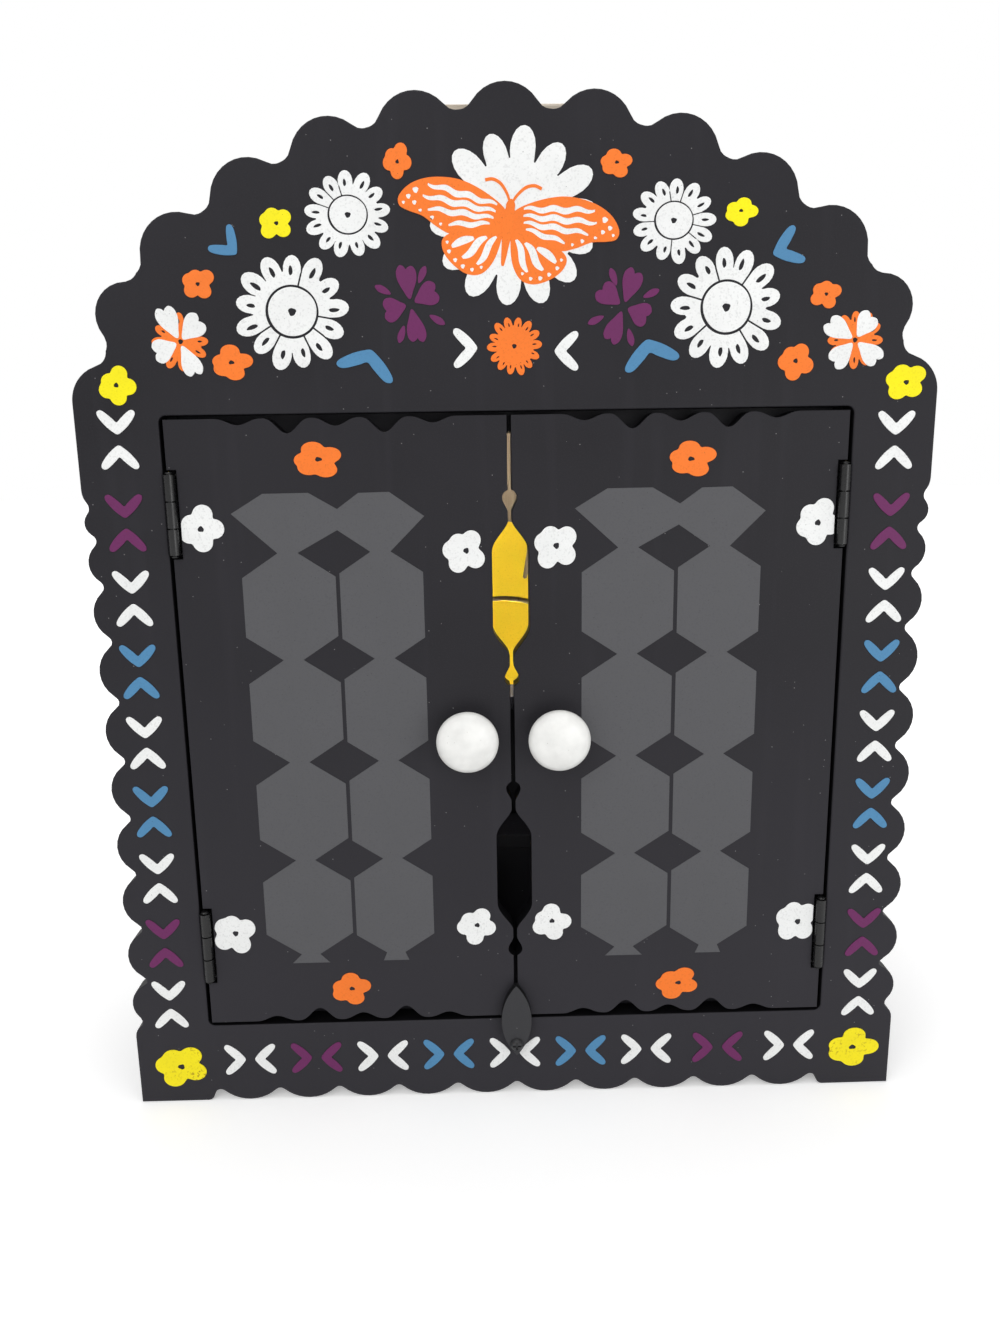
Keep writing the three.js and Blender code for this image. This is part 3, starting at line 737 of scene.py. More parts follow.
@dataclass(frozen=True)
class PetalRing:
    """Ring of uneven round-tipped petals with a radius of 1.

    Petals part at the root radius. A share of the gaps runs down to the inner radius as a fine
    line, and between two such lines the petals are one run with its own inner edge.
    """

    count: int
    root: float
    seed: int
    fill: float = 0.82
    long_tip: float = 1.3
    inner: float = 0.0
    parted: float = 0.0
    line: float = 0.020
    slit: Point = (0.0, 0.0)

    def draw(self) -> Drawing:
        """Draw the petals and the slit in each of them.

        Returns:
            One outline, or one for each run of petals, and the slits.
        """
        rng = random.Random(self.seed)
        pitch = math.tau / self.count
        lean = [pitch * rng.uniform(-0.05, 0.05) for _ in range(self.count)]
        parted = [rng.random() < self.parted for _ in range(self.count)]
        first = parted.index(True) + 1 if any(parted) else 0
        loops: list[Loop] = []
        run: list[Point] = []
        start = 0.0
        for index in range(first, first + self.count):
            bearing, before, after = (
                pitch * place + lean[place % self.count] for place in (index, index - 1, index + 1)
            )
            low, high = (bearing + before) / 2, (bearing + after) / 2
            tip, slit = self.petal(rng, bearing)
            if any(parted) and not run:
                start = low + self.line / self.inner
                run = [polar(self.inner, start), polar(self.root, low + self.line / self.root)]
            run += tip
            if parted[index % self.count]:
                end = high - self.line / self.inner
                run.append(polar(self.root, high - self.line / self.root))
                turns = max(2, round((end - start) / 0.1))
                angles = [end + (start - end) * turn / turns for turn in range(turns)]
                run += [polar(self.inner, angle) for angle in angles]
                loops.append(tuple(run))
                run = []
            else:
                floor = self.root * rng.uniform(0.97, 1.08)
                for side in (-1, 0, 1):
                    rise = 0.4 * abs(side) * self.line
                    run.append(polar(floor + rise, high + side * self.line))
            if self.slit[0] > 0.0:
                loops.append(slit)
        if run:
            loops.append(tuple(run))
        return Drawing(tuple(loops))

    def petal(self, rng: random.Random, bearing: float) -> tuple[Loop, Loop]:
        """Draw the round end of one petal and its slit.

        Args:
            rng: Source of the uneven sizes.
            bearing: Way that the petal looks, in radians.

        Returns:
            Points around the end, and the outline of the slit.
        """
        length = rng.uniform(0.92, 1.0)
        share = self.fill * math.tan(math.pi / self.count) * rng.uniform(0.94, 1.04)
        middle = length / (1.0 + self.long_tip * share)
        lobe = share * middle
        turn = math.degrees(bearing)
        arc = [polar(lobe, math.radians(degrees)) for degrees in range(-100, 101, 20)]
        tip = Drawing((tuple((middle + self.long_tip * x, z) for x, z in arc),)).turned(turn)
        long, wide = self.slit
        oval = Drawing((ring(1.0, 14, 0.06),))
        slit = oval.scaled(lobe * long * rng.uniform(0.85, 1.15), lobe * wide)
        slit = slit.moved(middle - 0.2 * lobe, 0.0).turned(turn + rng.uniform(-3.0, 3.0))
        return tip.loops[0], slit.loops[0]


def looped_daisy(seed: int) -> Drawing:
    """Daisy of slit petals around a disc with a fine groove, with a radius of 1."""
    petals = PetalRing(13, 0.64, seed, 0.84, 1.5, 0.452, 0.4, slit=(0.62, 0.28)).draw()
    return petals + Drawing((ring(0.40, 56, 0.008, (0.006, 0.004)), ring(0.072, 16, 0.10)))


def marigold(count: int, seed: int) -> Drawing:
    """Full flower of short slit petals around an open eye, with a radius of 1."""
    petals = PetalRing(count, 0.66, seed, 0.80, 1.7, slit=(0.62, 0.26)).draw()
    return petals + Drawing((ring(0.09, 16, 0.08),))


HEART_SIDES = (
    ((0.26, 0.25), (0.58, 0.46), (0.84, 0.47), (1.0, 0.27), (0.95, 0.08)),
    ((0.91, -0.12), (0.93, -0.32), (0.79, -0.48), (0.53, -0.46), (0.23, -0.23)),
)
HEART = Drawing((spline([(0.0, 0.0), *HEART_SIDES[0], (0.86, -0.01), *HEART_SIDES[1]], 6),))
LEAF_SIDE = ((0.30, 0.40), (0.72, 0.48))
LEAF = Drawing(
    (spline([(0.0, 0.0), *LEAF_SIDE, (1.0, 0.0), *((x, -z) for x, z in LEAF_SIDE[::-1])], 5),)
)
ARM = ((3.3, 1.35), (1.2, 3.75), (-1.7, 6.0), (-3.3, 6.35), (-3.9, 5.3), (-3.2, 3.9), (-1.2, 1.6))
CHEVRON = Drawing(
    (spline([(4.0, 0.0), *ARM, (0.2, 0.0), *((x, -z) for x, z in ARM[::-1])], 5),)
)


@dataclass(frozen=True)
class HeartFlower:
    """Flower of heart-shaped petals, each with its bearing, length and width, and of leaves."""

    x: float
    z: float
    hearts: tuple[Triple, ...]
    leaves: tuple[float, ...] = ()
    start: float = 1.7
    leaf_start: float = 7.4
    leaf_size: Point = (5.8, 2.2)

    def draw(self) -> Drawing:
        """Draw the hearts and leaves in place.

        Returns:
            The flower on the board.
        """
        flower = Drawing()
        for bearing, length, width in self.hearts:
            flower += HEART.scaled(length, width).moved(self.start, 0.0).turned(bearing)
        for bearing in self.leaves:
            flower += LEAF.scaled(*self.leaf_size).moved(self.leaf_start, 0.0).turned(bearing)
        return flower.moved(self.x, self.z)


def select_only(piece: Piece) -> None:
    """Make one object the only selected and active one.

    Args:
        piece: The object.
    """
    bpy.ops.object.select_all(action="DESELECT")
    piece.select_set(True)
    bpy.context.view_layer.objects.active = piece


def smooth(piece: Piece, degrees: float) -> None:
    """Shade a piece smooth below an angle and keep its flat faces flat.

    Args:
        piece: Piece to shade.
        degrees: Edges above this angle stay sharp.
    """
    select_only(piece)
    bpy.ops.object.shade_smooth_by_angle(angle=math.radians(degrees))
    weights = piece.modifiers.new("even_faces", "WEIGHTED_NORMAL")
    weights.keep_sharp = True
    bpy.ops.object.modifier_apply(modifier=weights.name)


def dress(
    piece: Piece,
    body: Body,
    finish: Finish,
    nodes: Sequence[str] = (),
) -> None:
    """Give a piece its finish and its place in the frame.

    Args:
        piece: Finished piece.
        body: Body that it rides on.
        finish: Its finish.
        nodes: Solids that it stands for.
    """
    piece.data.materials.clear()
    piece.data.materials.append(finish.material())
    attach(piece, body.value)
    if nodes:
        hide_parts(*nodes)
    LOG.info("%s rides on %s with %s", piece.name, body.value, finish.name)


@dataclass
class FromSolid:
    """Piece made from a copy of its plain solid, with worked edges."""

    node: str
    body: Body
    slot: Slot
    finish: Finish

    def build(self, frame: dict) -> None:
        """Copy the solid, merge its triangles into flat faces, work its edges and dress it.

        Args:
            frame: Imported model.
        """
        mesh = frame["nodes"][self.node].data.copy()
        piece = bpy.data.objects.new(f"{self.node}_eased", mesh)
        bpy.context.scene.collection.objects.link(piece)
        select_only(piece)
        if mesh.has_custom_normals:
            bpy.ops.mesh.customdata_custom_splitnormals_clear()
        bpy.ops.object.mode_set(mode="EDIT")
        bpy.ops.mesh.select_all(action="SELECT")
        bpy.ops.mesh.remove_doubles(threshold=WELD)
        bpy.ops.mesh.dissolve_limited(angle_limit=FLAT_ANGLE)
        bpy.ops.object.mode_set(mode="OBJECT")
        self.work_edges(piece)
        dress(piece, self.body, self.finish, (self.node,))

    def work_edges(self, piece: Piece) -> None:
        """Work the edges of the copy."""
        raise NotImplementedError


@dataclass
class Board(FromSolid):
    """Painted or bare board with eased edges."""

    rim: Rim
    ease: float
    # whether the side faces are marked to take painted shade
    shades_side_faces: bool = True

    def select_edges(self, mesh: bpy.types.Mesh) -> None:
        """Select the square edges in both faces or, by the rim, those too long for a nail hole.

        Args:
            mesh: Mesh of the board.
        """
        faces = [corner.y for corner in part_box(self.node)]
        normals: dict[tuple[int, int], list[Vector]] = {}
        for face in mesh.polygons:
            for key in face.edge_keys:
                normals.setdefault(key, []).append(face.normal.copy())
        for group in (mesh.polygons, mesh.edges, mesh.vertices):
            group.foreach_set("select", [False] * len(group))
        for edge in mesh.edges:
            sides = normals.get(edge.key, [])
            if len(sides) != 2 or sides[0].dot(sides[1]) > SQUARE_DOT:
                continue
            first, second = (mesh.vertices[index] for index in edge.vertices)
            if self.rim is Rim.LONG:
                eased = (first.co - second.co).length > NAIL_HOLE_EDGE
            else:
                depths = (first.co.y, second.co.y)
                eased = any(all(abs(depth - y) < FACE_NEAR for depth in depths) for y in faces)
            if eased:
                edge.select = first.select = second.select = True

    def work_edges(self, piece: Piece) -> None:
        """Ease the edges and mark the side faces, which the finish darkens as painted shade.

        Args:
            piece: Copy of the solid.
        """
        bpy.context.tool_settings.mesh_select_mode = (False, True, False)
        self.select_edges(piece.data)
        bpy.ops.object.mode_set(mode="EDIT")
        bpy.ops.mesh.bevel(
            offset_type="OFFSET",
            offset=self.ease * MM,
            segments=EASE_STEPS,
            profile=0.5,
            clamp_overlap=False,
        )
        bpy.ops.object.mode_set(mode="OBJECT")
        smooth(piece, BOARD_SMOOTH)
        if self.shades_side_faces:
            # mark the side faces, which the finish darkens as painted shade
            cut = piece.data.attributes.new(SHADED_SIDE_FACES, "FLOAT", "FACE")
            slopes = [abs(face.normal.y) for face in piece.data.polygons]
            cut.data.foreach_set("value", [float(slope < EDGE_SLOPE) for slope in slopes])


@dataclass
class Fitting(FromSolid):
    """Small metal piece with broken edges."""

    ease: float = 0.12

    def work_edges(self, piece: Piece) -> None:
        """Break the edges.

        Args:
            piece: Copy of the solid.
        """
        bevel = piece.modifiers.new("broken_edges", "BEVEL")
        bevel.width = self.ease * MM
        bevel.segments = ROUND_STEPS
        bevel.limit_method = "ANGLE"
        bevel.angle_limit = BREAK_ANGLE
        bpy.ops.object.modifier_apply(modifier=bevel.name)
        smooth(piece, FITTING_SMOOTH)


@dataclass(frozen=True)
class PaintedFace:
    """Front of a board that takes layers of thick paint with round edges."""

    body: Body
    node: str
    sink: float = 0.05

    def paint(
        self,
        name: str,
        ink: Ink,
        drawings: Sequence[Drawing],
        height: float = 0.30,
        rounding: float = 0.12,
    ) -> None:
        """Turn drawings into one raised layer on the board.

        Args:
            name: Name of the layer.
            ink: Its paint.
            drawings: Outlines in millimetres.
            height: Height above the board.
            rounding: Radius of its round edges.
        """
        curve = bpy.data.curves.new(name, "CURVE")
        curve.dimensions = "2D"
        curve.fill_mode = "BOTH"
        half = (height + self.sink) / 2
        curve.extrude = half - rounding
        curve.bevel_depth = rounding
        curve.bevel_resolution = ROUND_STEPS
        for loop in (loop for drawing in drawings for loop in drawing.loops):
            line = curve.splines.new("POLY")
            line.points.add(len(loop) - 1)
            line.points.foreach_set("co", [c for x, z in loop for c in (x, z, 0.0, 1.0)])
            line.use_cyclic_u = True
        piece = bpy.data.objects.new(name, curve)
        bpy.context.scene.collection.objects.link(piece)
        select_only(piece)
        bpy.ops.object.convert(target="MESH")
        piece = bpy.context.view_layer.objects.active
        piece.rotation_euler = (QUARTER, 0.0, 0.0)
        piece.scale = (MM, MM, MM)
        piece.location = (0.0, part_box(self.node)[0].y + (self.sink - half) * MM, 0.0)
        bpy.ops.object.transform_apply(location=True, rotation=True, scale=True)
        bpy.ops.object.mode_set(mode="EDIT")
        bpy.ops.mesh.select_all(action="SELECT")
        bpy.ops.mesh.remove_doubles(threshold=WELD)
        bpy.ops.mesh.normals_make_consistent(inside=False)
        bpy.ops.object.mode_set(mode="OBJECT")
        smooth(piece, BOARD_SMOOTH)
        dress(piece, self.body, ink.value)


@dataclass
class Butterfly:
    """Painted butterfly: white ground, orange wings with open cells, body and feelers.

    Outlines are those of the right half. A cell has its two ends, half its width and its number of
    waves, and a spot has its place and radius.
    """

    middle: Point = (0.8, 327.5)
    turn: float = -9.0
    fore_wing: Loop = (
        (1.6, 3.2), (9.0, 7.6), (18.0, 10.2), (27.0, 9.6), (33.5, 6.8), (37.0, 2.6), (36.6, -0.4),
        (33.5, -1.6), (28.5, -2.6), (23.5, -5.2), (18.0, -6.8), (10.0, -4.6), (1.6, -1.0),
    )
    hind_wing: Loop = (
        (1.6, -0.6), (9.0, -3.6), (17.5, -6.2), (21.0, -9.0), (20.0, -13.0), (16.0, -16.6),
        (11.0, -18.6), (6.5, -17.6), (3.2, -13.0), (1.6, -6.0),
    )
    ground: Loop = (
        (1.8, 2.0), (9.0, 6.8), (18.0, 9.4), (27.0, 8.8), (32.8, 6.2), (36.0, 2.4), (35.6, 0.2),
        (33.0, -0.8), (28.0, -1.8), (22.6, -4.8), (20.2, -9.2), (19.2, -12.6), (15.6, -15.8),
        (11.0, -17.7), (7.0, -16.8), (4.0, -12.6), (1.8, -5.0),
    )
    torso: Loop = ((1.3, 5.4), (1.4, 3.8), (2.0, 1.6), (1.9, -2.0), (1.2, -7.0), (0.5, -13.4))
    feeler: Loop = ((0.5, 6.0), (1.8, 8.4), (4.2, 11.0), (7.0, 12.0), (9.4, 11.4))
    fore_cells: tuple[Cell, ...] = (
        ((4.4, 4.4), (28.2, 7.4), 1.15, 3.0),
        ((4.6, 2.2), (29.4, 3.7), 1.15, 3.0),
        ((5.0, 0.1), (27.2, -0.1), 1.10, 2.7),
        ((6.0, -1.8), (19.8, -4.0), 1.00, 1.65),
    )
    hind_cells: tuple[Cell, ...] = (
        ((3.3, -5.4), (8.6, -15.2), 1.25, 1.0),
        ((6.4, -6.0), (13.8, -13.8), 1.40, 1.0),
        ((10.6, -7.0), (17.8, -10.8), 1.35, 0.5),
    )
    fore_spots: tuple[Triple, ...] = (
        (31.9, 5.0, 1.05), (34.0, 2.7, 0.85), (35.4, 0.6, 0.6), (31.8, 1.1, 0.8),
        (29.6, -1.1, 0.65), (25.4, -2.7, 0.75), (22.3, -4.3, 0.6),
    )
    hind_spots: tuple[Triple, ...] = (
        (19.4, -9.6, 0.6), (18.4, -12.4, 0.75), (16.0, -14.8, 0.75), (13.2, -16.4, 0.8),
        (10.0, -17.0, 0.7), (7.0, -15.8, 0.6),
    )

    def placed(self, *loops: Loop) -> list[Drawing]:
        """Outlines turned and moved to their place on the board."""
        return [Drawing(loops).turned(self.turn).moved(*self.middle)]

    def both(self, *loops: Loop) -> list[Drawing]:
        """Outlines of the right half with their mirror images, in place."""
        return self.placed(*loops, *(mirrored(loop) for loop in loops))

    def wings(self, outline: Loop, cells: Sequence[Cell], spots: Sequence[Triple]) -> list[Drawing]:
        """Pair of wings in place, with the right one's outline, its cells and its spots."""
        round_holes = [ring(size, 12, 0.12, (x, z)) for x, z, size in spots]
        return self.both(spline(outline, 6), *(wavy_cell(*cell) for cell in cells), *round_holes)

    def build(self, face: PaintedFace) -> None:
        """Paint the layers of the butterfly.

        Args:
            face: Front of the board.
        """
        face.paint("butterfly_ground", Ink.WHITE, self.both(spline(self.ground, 5)), 0.32)
        hind = self.wings(self.hind_wing, self.hind_cells, self.hind_spots)
        face.paint("butterfly_hind_wings", Ink.ORANGE, hind, 0.40, 0.10)
        fore = self.wings(self.fore_wing, self.fore_cells, self.fore_spots)
        face.paint("butterfly_fore_wings", Ink.ORANGE, fore, 0.42, 0.10)
        torso = spline([(0.0, 6.8), *self.torso, (0.0, -14.2), *mirrored(self.torso)], 4)
        face.paint("butterfly_body", Ink.ORANGE, self.placed(torso), 0.48)
        feelers = self.both(stroke(self.feeler, 0.42, 0.7))
        face.paint("butterfly_feelers", Ink.ORANGE, feelers, 0.45, 0.10)


@dataclass
class FaceFrame:
    """Arched front board with its crest and border ornaments.

    A bend has its place, turn, depth and span. A side place has its distance from the middle, and
    the stretch and drop of its rows.
    """

    daisies: tuple[Mark, ...] = (
        Mark(-72.8, 299.1, 38.1, 36.7, 4.0, 11),
        Mark(74.7, 299.0, 37.8, 39.0, 12.0, 12),
        Mark(-52.8, 330.2, 28.2, 26.7, 8.0, 13),
        Mark(56.5, 326.7, 27.9, 26.6, 2.0, 14),
    )
    orange_flowers: tuple[Mark, ...] = (
        Mark(-35.7, 346.3, 9.2, 10.9, 60.0, 21),
        Mark(36.8, 345.0, 10.3, 8.6, 88.0, 22),
        Mark(-103.7, 308.7, 10.4, 8.9, 20.0, 23),
        Mark(108.9, 302.9, 10.3, 8.7, 10.0, 24),
        Mark(-94.0, 283.3, 13.6, 11.5, 84.0, 25),
        Mark(99.5, 280.9, 12.2, 12.0, 50.0, 26),
    )
    yellow_flowers: tuple[Mark, ...] = (
        Mark(-76.8, 327.6, 10.3, 9.3, 30.0, 31),
        Mark(79.1, 329.5, 10.8, 8.8, 70.0, 32),
        Mark(-133.8, 276.2, 12.6, 12.9, 64.0, 33),
        Mark(138.3, 273.8, 13.7, 11.4, 26.0, 34),
    )
    corner_flowers: tuple[Mark, ...] = (
        Mark(-133.3, 15.4, 19.7, 16.8, 40.0, 35),
        Mark(135.4, 16.4, 19.9, 16.6, 76.0, 36),
    )
    marigold: Mark = Mark(2.3, 287.3, 18.7, 18.7, 3.0, 42)
    white_daisy: Mark = Mark(2.5, 328.8, 55.8, 55.8, 5.0, 41)
    bends: tuple[tuple[float, float, float, float, float], ...] = (
        (-93.3, 321.0, -45.0, 1.0, 0.86),
        (94.8, 317.9, 201.0, 1.2, 0.97),
        (-48.2, 282.6, 71.5, 1.08, 1.54),
        (48.9, 284.5, 104.0, 1.12, 1.48),
    )
    white_bends: tuple[tuple[float, float, Heading], ...] = (
        (-14.6, 287.0, Heading.RIGHT),
        (20.2, 285.6, Heading.LEFT),
    )
    purple_flowers: tuple[HeartFlower, ...] = (
        HeartFlower(
            -32.8, 301.5,
            ((97.0, 11.0, 6.8), (27.0, 8.6, 7.8), (195.0, 7.8, 8.0), (281.0, 11.0, 6.4)),
            (66.0, 153.0, 251.0, 330.0),
        ),
        HeartFlower(
            39.6, 299.8,
            ((71.0, 11.0, 6.8), (143.0, 8.6, 7.8), (338.0, 7.8, 8.0), (248.0, 10.8, 6.4)),
            (110.0, 24.0, 204.0, 284.0),
        ),
    )
    two_tone_flowers: tuple[HeartFlower, ...] = (
        HeartFlower(
            -111.4, 290.2,
            ((115.0, 11.0, 7.0), (45.0, 9.2, 8.0), (204.0, 8.4, 7.8), (294.0, 10.6, 6.6)),
            start=1.5,
        ),
        HeartFlower(
            119.8, 287.9,
            ((58.0, 8.6, 7.4), (148.0, 10.4, 7.2), (227.0, 9.4, 7.4), (321.0, 9.8, 7.0)),
            start=1.5,
        ),
    )
    two_tone_size: float = 19.0
    side_rows: tuple[float, ...] = (258.1, 229.5, 202.7, 175.9, 149.1, 122.3, 95.5, 68.7, 42.75)
    side_places: tuple[Triple, ...] = ((-135.3, 1.0, 0.0), (136.0, 0.9916, -1.84))
    bottom_row: tuple[float, ...] = (-105.7, -79.5, -53.2, -27.0, -0.7, 25.5, 51.7, 80.3, 109.0)
    bottom_height: float = 18.0
    pair_gap: float = 6.0
    order: tuple[Ink, ...] = (
        Ink.WHITE, Ink.PURPLE, Ink.WHITE, Ink.BLUE, Ink.WHITE,
        Ink.BLUE, Ink.WHITE, Ink.PURPLE, Ink.WHITE,
    )
    butterfly: Butterfly = field(default_factory=Butterfly)

    def build(self, frame: dict) -> None:
        """Build the board and all its ornaments.

        Args:
            frame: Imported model.
        """
        Board("face_frame", Body.ALTAR, Slot.BLACK_PAINT, BOARD_BLACK, Rim.FACES, 0.7).build(frame)
        face = PaintedFace(Body.ALTAR, "face_frame")
        self.paint_flowers(face)
        self.paint_hearts(face)
        self.paint_strokes(face)
        middle = PetalRing(14, 0.62, self.white_daisy.seed, 0.85, 1.7).draw()
        face.paint("crest_white_daisy", Ink.WHITE, [self.white_daisy.put(middle)], 0.28)
        self.butterfly.build(face)

    def paint_flowers(self, face: PaintedFace) -> None:
        """Paint the daisies, the marigold and the small flowers.

        Args:
            face: Front of the board.
        """
        daisies = [mark.put(looped_daisy(mark.seed)) for mark in self.daisies]
        face.paint("crest_daisies", Ink.WHITE, daisies)
        middle = self.marigold.put(marigold(14, self.marigold.seed))
        face.paint("crest_marigold", Ink.ORANGE, [middle])
        face.paint("crest_orange_flowers", Ink.ORANGE, small_flowers(self.orange_flowers))
        face.paint("crest_yellow_flowers", Ink.YELLOW, small_flowers(self.yellow_flowers))
        face.paint("corner_flowers", Ink.RUBBED_YELLOW, small_flowers(self.corner_flowers))

    def paint_hearts(self, face: PaintedFace) -> None:
        """Paint the flowers of heart-shaped petals.

        Args:
            face: Front of the board.
        """
        purple = [flower.draw() for flower in self.purple_flowers]
        face.paint("crest_purple_flowers", Ink.PURPLE, purple, 0.22, 0.08)
        hearts = [flower.draw() for flower in self.two_tone_flowers]
        face.paint("two_tone_flower_hearts", Ink.WHITE, hearts, 0.38)
        grounds = []
        for seed, flower in enumerate(self.two_tone_flowers, 81):
            mark = Mark(flower.x, flower.z, self.two_tone_size, self.two_tone_size)
            grounds.append(mark.put(marigold(12, seed)))
        face.paint("two_tone_flower_grounds", Ink.ORANGE, grounds, 0.24, 0.08)

    def paint_strokes(self, face: PaintedFace) -> None:
        """Paint the bent strokes of the crest and the pairs of chevrons of the border.

        Args:
            face: Front of the board.
        """
        turned = {heading: CHEVRON.turned(heading.value) for heading in Heading}
        blue = []
        for x, z, turn, depth, span in self.bends:
            blue.append(CHEVRON.scaled(depth, span).turned(turn).moved(x, z))
        face.paint("crest_blue_bends", Ink.BLUE, blue)
        white = [turned[heading].moved(x, z) for x, z, heading in self.white_bends]
        face.paint("crest_white_bends", Ink.WHITE, white)
        groups: dict[Ink, list[Drawing]] = {ink: [] for ink in self.order}
        gap, low = self.pair_gap, self.bottom_height
        for ink, row in zip(self.order, self.side_rows):
            for x, stretch, drop in self.side_places:
                z = stretch * row + drop
                groups[ink].append(turned[Heading.DOWN].moved(x, z + gap))
                groups[ink].append(turned[Heading.UP].moved(x, z - gap))
        for ink, x in zip(self.order, self.bottom_row):
            groups[ink].append(turned[Heading.RIGHT].moved(x - gap, low))
            groups[ink].append(turned[Heading.LEFT].moved(x + gap, low))
        for ink, drawings in groups.items():
            face.paint(f"border_chevrons_{ink.name.lower()}", ink, drawings)


@dataclass
class Knob:
    """Turned knob with a round base, a neck and a domed head."""

    side: str
    radius: float = 11.3
    projection: float = 15.0
    rim: float = 9.5
    base: float = 7.0
    base_height: float = 1.6
    neck: float = 5.2
    neck_height: float = 4.2
    around: int = 64

    def profile(self) -> list[Point]:
        """Draw the turned shape.

        Returns:
            Radius and height of each ring, from the door to the tip of the head.
        """
        base, foot, neck = self.base, self.base_height, self.neck
        rings = [
            (base - 0.35, 0.0), (base - 0.1, 0.12), (base, 0.4), (base, foot - 0.4),
            (base - 0.25, foot - 0.08), (base - 0.9, foot + 0.18), (neck + 0.25, foot + 0.9),
            (neck, 0.5 * (foot + self.neck_height) + 0.2),
        ]
        for step in range(13):
            across, along = polar(1.0, QUARTER * (1.0 - step / 12))
            height = self.rim - (self.rim - self.neck_height) * along
            rings.append((neck + (self.radius - neck) * across, height))
        for step in range(1, 14):
            across, along = polar(1.0, QUARTER * step / 14)
            rings.append((self.radius * across, self.rim + (self.projection - self.rim) * along))
        return rings

    def build(self) -> None:
        """Turn the knob ring by ring, close both ends and dress it."""
        node = f"{self.side}_knob"
        low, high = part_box(node)
        x, z = (low.x + high.x) / 2, (low.z + high.z) / 2
        rings = self.profile()
        bpy.ops.object.select_all(action="DESELECT")
        bpy.ops.mesh.primitive_circle_add(
            vertices=self.around,
            radius=rings[0][0] * MM,
            location=(x, high.y, z),
            rotation=(QUARTER, 0.0, 0.0),
        )
        piece = bpy.context.view_layer.objects.active
        piece.name = f"{node}_turned"
        bpy.ops.object.transform_apply(location=True, rotation=True, scale=True)
        bpy.ops.object.mode_set(mode="EDIT")
        bpy.ops.mesh.select_all(action="SELECT")
        for (radius, height), (wider, further) in zip(rings, rings[1:]):
            step = (0.0, -(further - height) * MM, 0.0)
            bpy.ops.mesh.extrude_edges_move(TRANSFORM_OT_translate={"value": step})
            share = wider / radius
            centre = (x, high.y - further * MM, z)
            bpy.ops.transform.resize(value=(share, 1.0, share), center_override=centre)
        bpy.ops.mesh.merge(type="CENTER")
        bpy.ops.transform.translate(value=(0.0, low.y - (high.y - rings[-1][1] * MM), 0.0))
        bpy.ops.mesh.select_all(action="DESELECT")
        bpy.ops.mesh.select_mode(type="EDGE")
        bpy.ops.mesh.select_non_manifold()
        bpy.ops.mesh.edge_face_add()
        bpy.ops.mesh.select_all(action="SELECT")
        bpy.ops.mesh.normals_make_consistent(inside=False)
        bpy.ops.object.mode_set(mode="OBJECT")
        smooth(piece, KNOB_SMOOTH)
        dress(piece, Body(f"{self.side}_door"), KNOB_WHITE, (node,))


@dataclass(frozen=True)
class GemColumn:
    """Painted column of faceted gems that stands on a small foot, in millimetres."""

    middle: float
    half: float
    foot: float
    floor: float
    neck: float = 3.5
    top: float = 218.0
    bottom: float = 62.7
    gems: int = 4
    slope: float = 0.66

    def side(self, sign: int) -> list[Point]:
        """Draw one side from the top neck down to the foot.

        Args:
            sign: -1 for the left side and 1 for the right one.

        Returns:
            Points down that side.
        """
        pitch = (self.top - self.bottom) / self.gems
        drop = (self.half - self.neck) * self.slope
        reach = []
        for gem in range(self.gems):
            high = self.top - gem * pitch
            reach += [(self.neck, high), (self.half, high - drop), (self.half, high - pitch + drop)]
        reach += [(self.neck, self.bottom), (self.foot, self.floor)]
        return [(self.middle + sign * x, z) for x, z in reach]


@dataclass
class Door:
    """Door board with its knob, its flowers and its pair of grey gem columns.

    The paint ends where the recesses of the hinges start.
    """

    side: str
    shift: float
    white_flowers: tuple[Mark, ...]
    orange_flowers: tuple[Mark, ...]
    crown: Loop = (
        (-98.3, 232.1), (-86.9, 238.9), (-70.9, 239.0), (-61.0, 233.2), (-53.3, 238.7),
        (-42.5, 238.9), (-30.4, 230.3),
    )
    valley: Point = (-61.3, 225.9)
    paint_end: float = 115.9
    left_column: GemColumn = GemColumn(-79.3, 16.6, 7.1, 59.1)
    right_column: GemColumn = GemColumn(-46.3, 14.9, 4.9, 59.4)

    def build(self, frame: dict) -> None:
        """Build the door and paint it.

        Args:
            frame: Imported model.
        """
        node = f"{self.side}_door"
        body = Body(node)
        Board(node, body, Slot.BLACK_PAINT, BOARD_BLACK, Rim.FACES, 0.3).build(frame)
        Knob(self.side).build()
        Fitting(f"{self.side}_knob_screw", body, Slot.STEEL, STEEL_BRIGHT).build(frame)
        face = PaintedFace(body, node)
        for ink, marks in ((Ink.WHITE, self.white_flowers), (Ink.ORANGE, self.orange_flowers)):
            flowers = [flower.trimmed(self.paint_end) for flower in small_flowers(marks)]
            face.paint(f"{node}_{ink.name.lower()}_flowers", ink, flowers)
        left, right = self.left_column, self.right_column
        outline = [*self.crown, *right.side(1), *reversed(right.side(-1)), self.valley]
        outline += [*left.side(1), *reversed(left.side(-1))]
        columns = Drawing((tuple(outline),)).moved(self.shift, 0.0)
        face.paint(f"{node}_gem_columns", Ink.GREY, [columns], 0.14, 0.05)


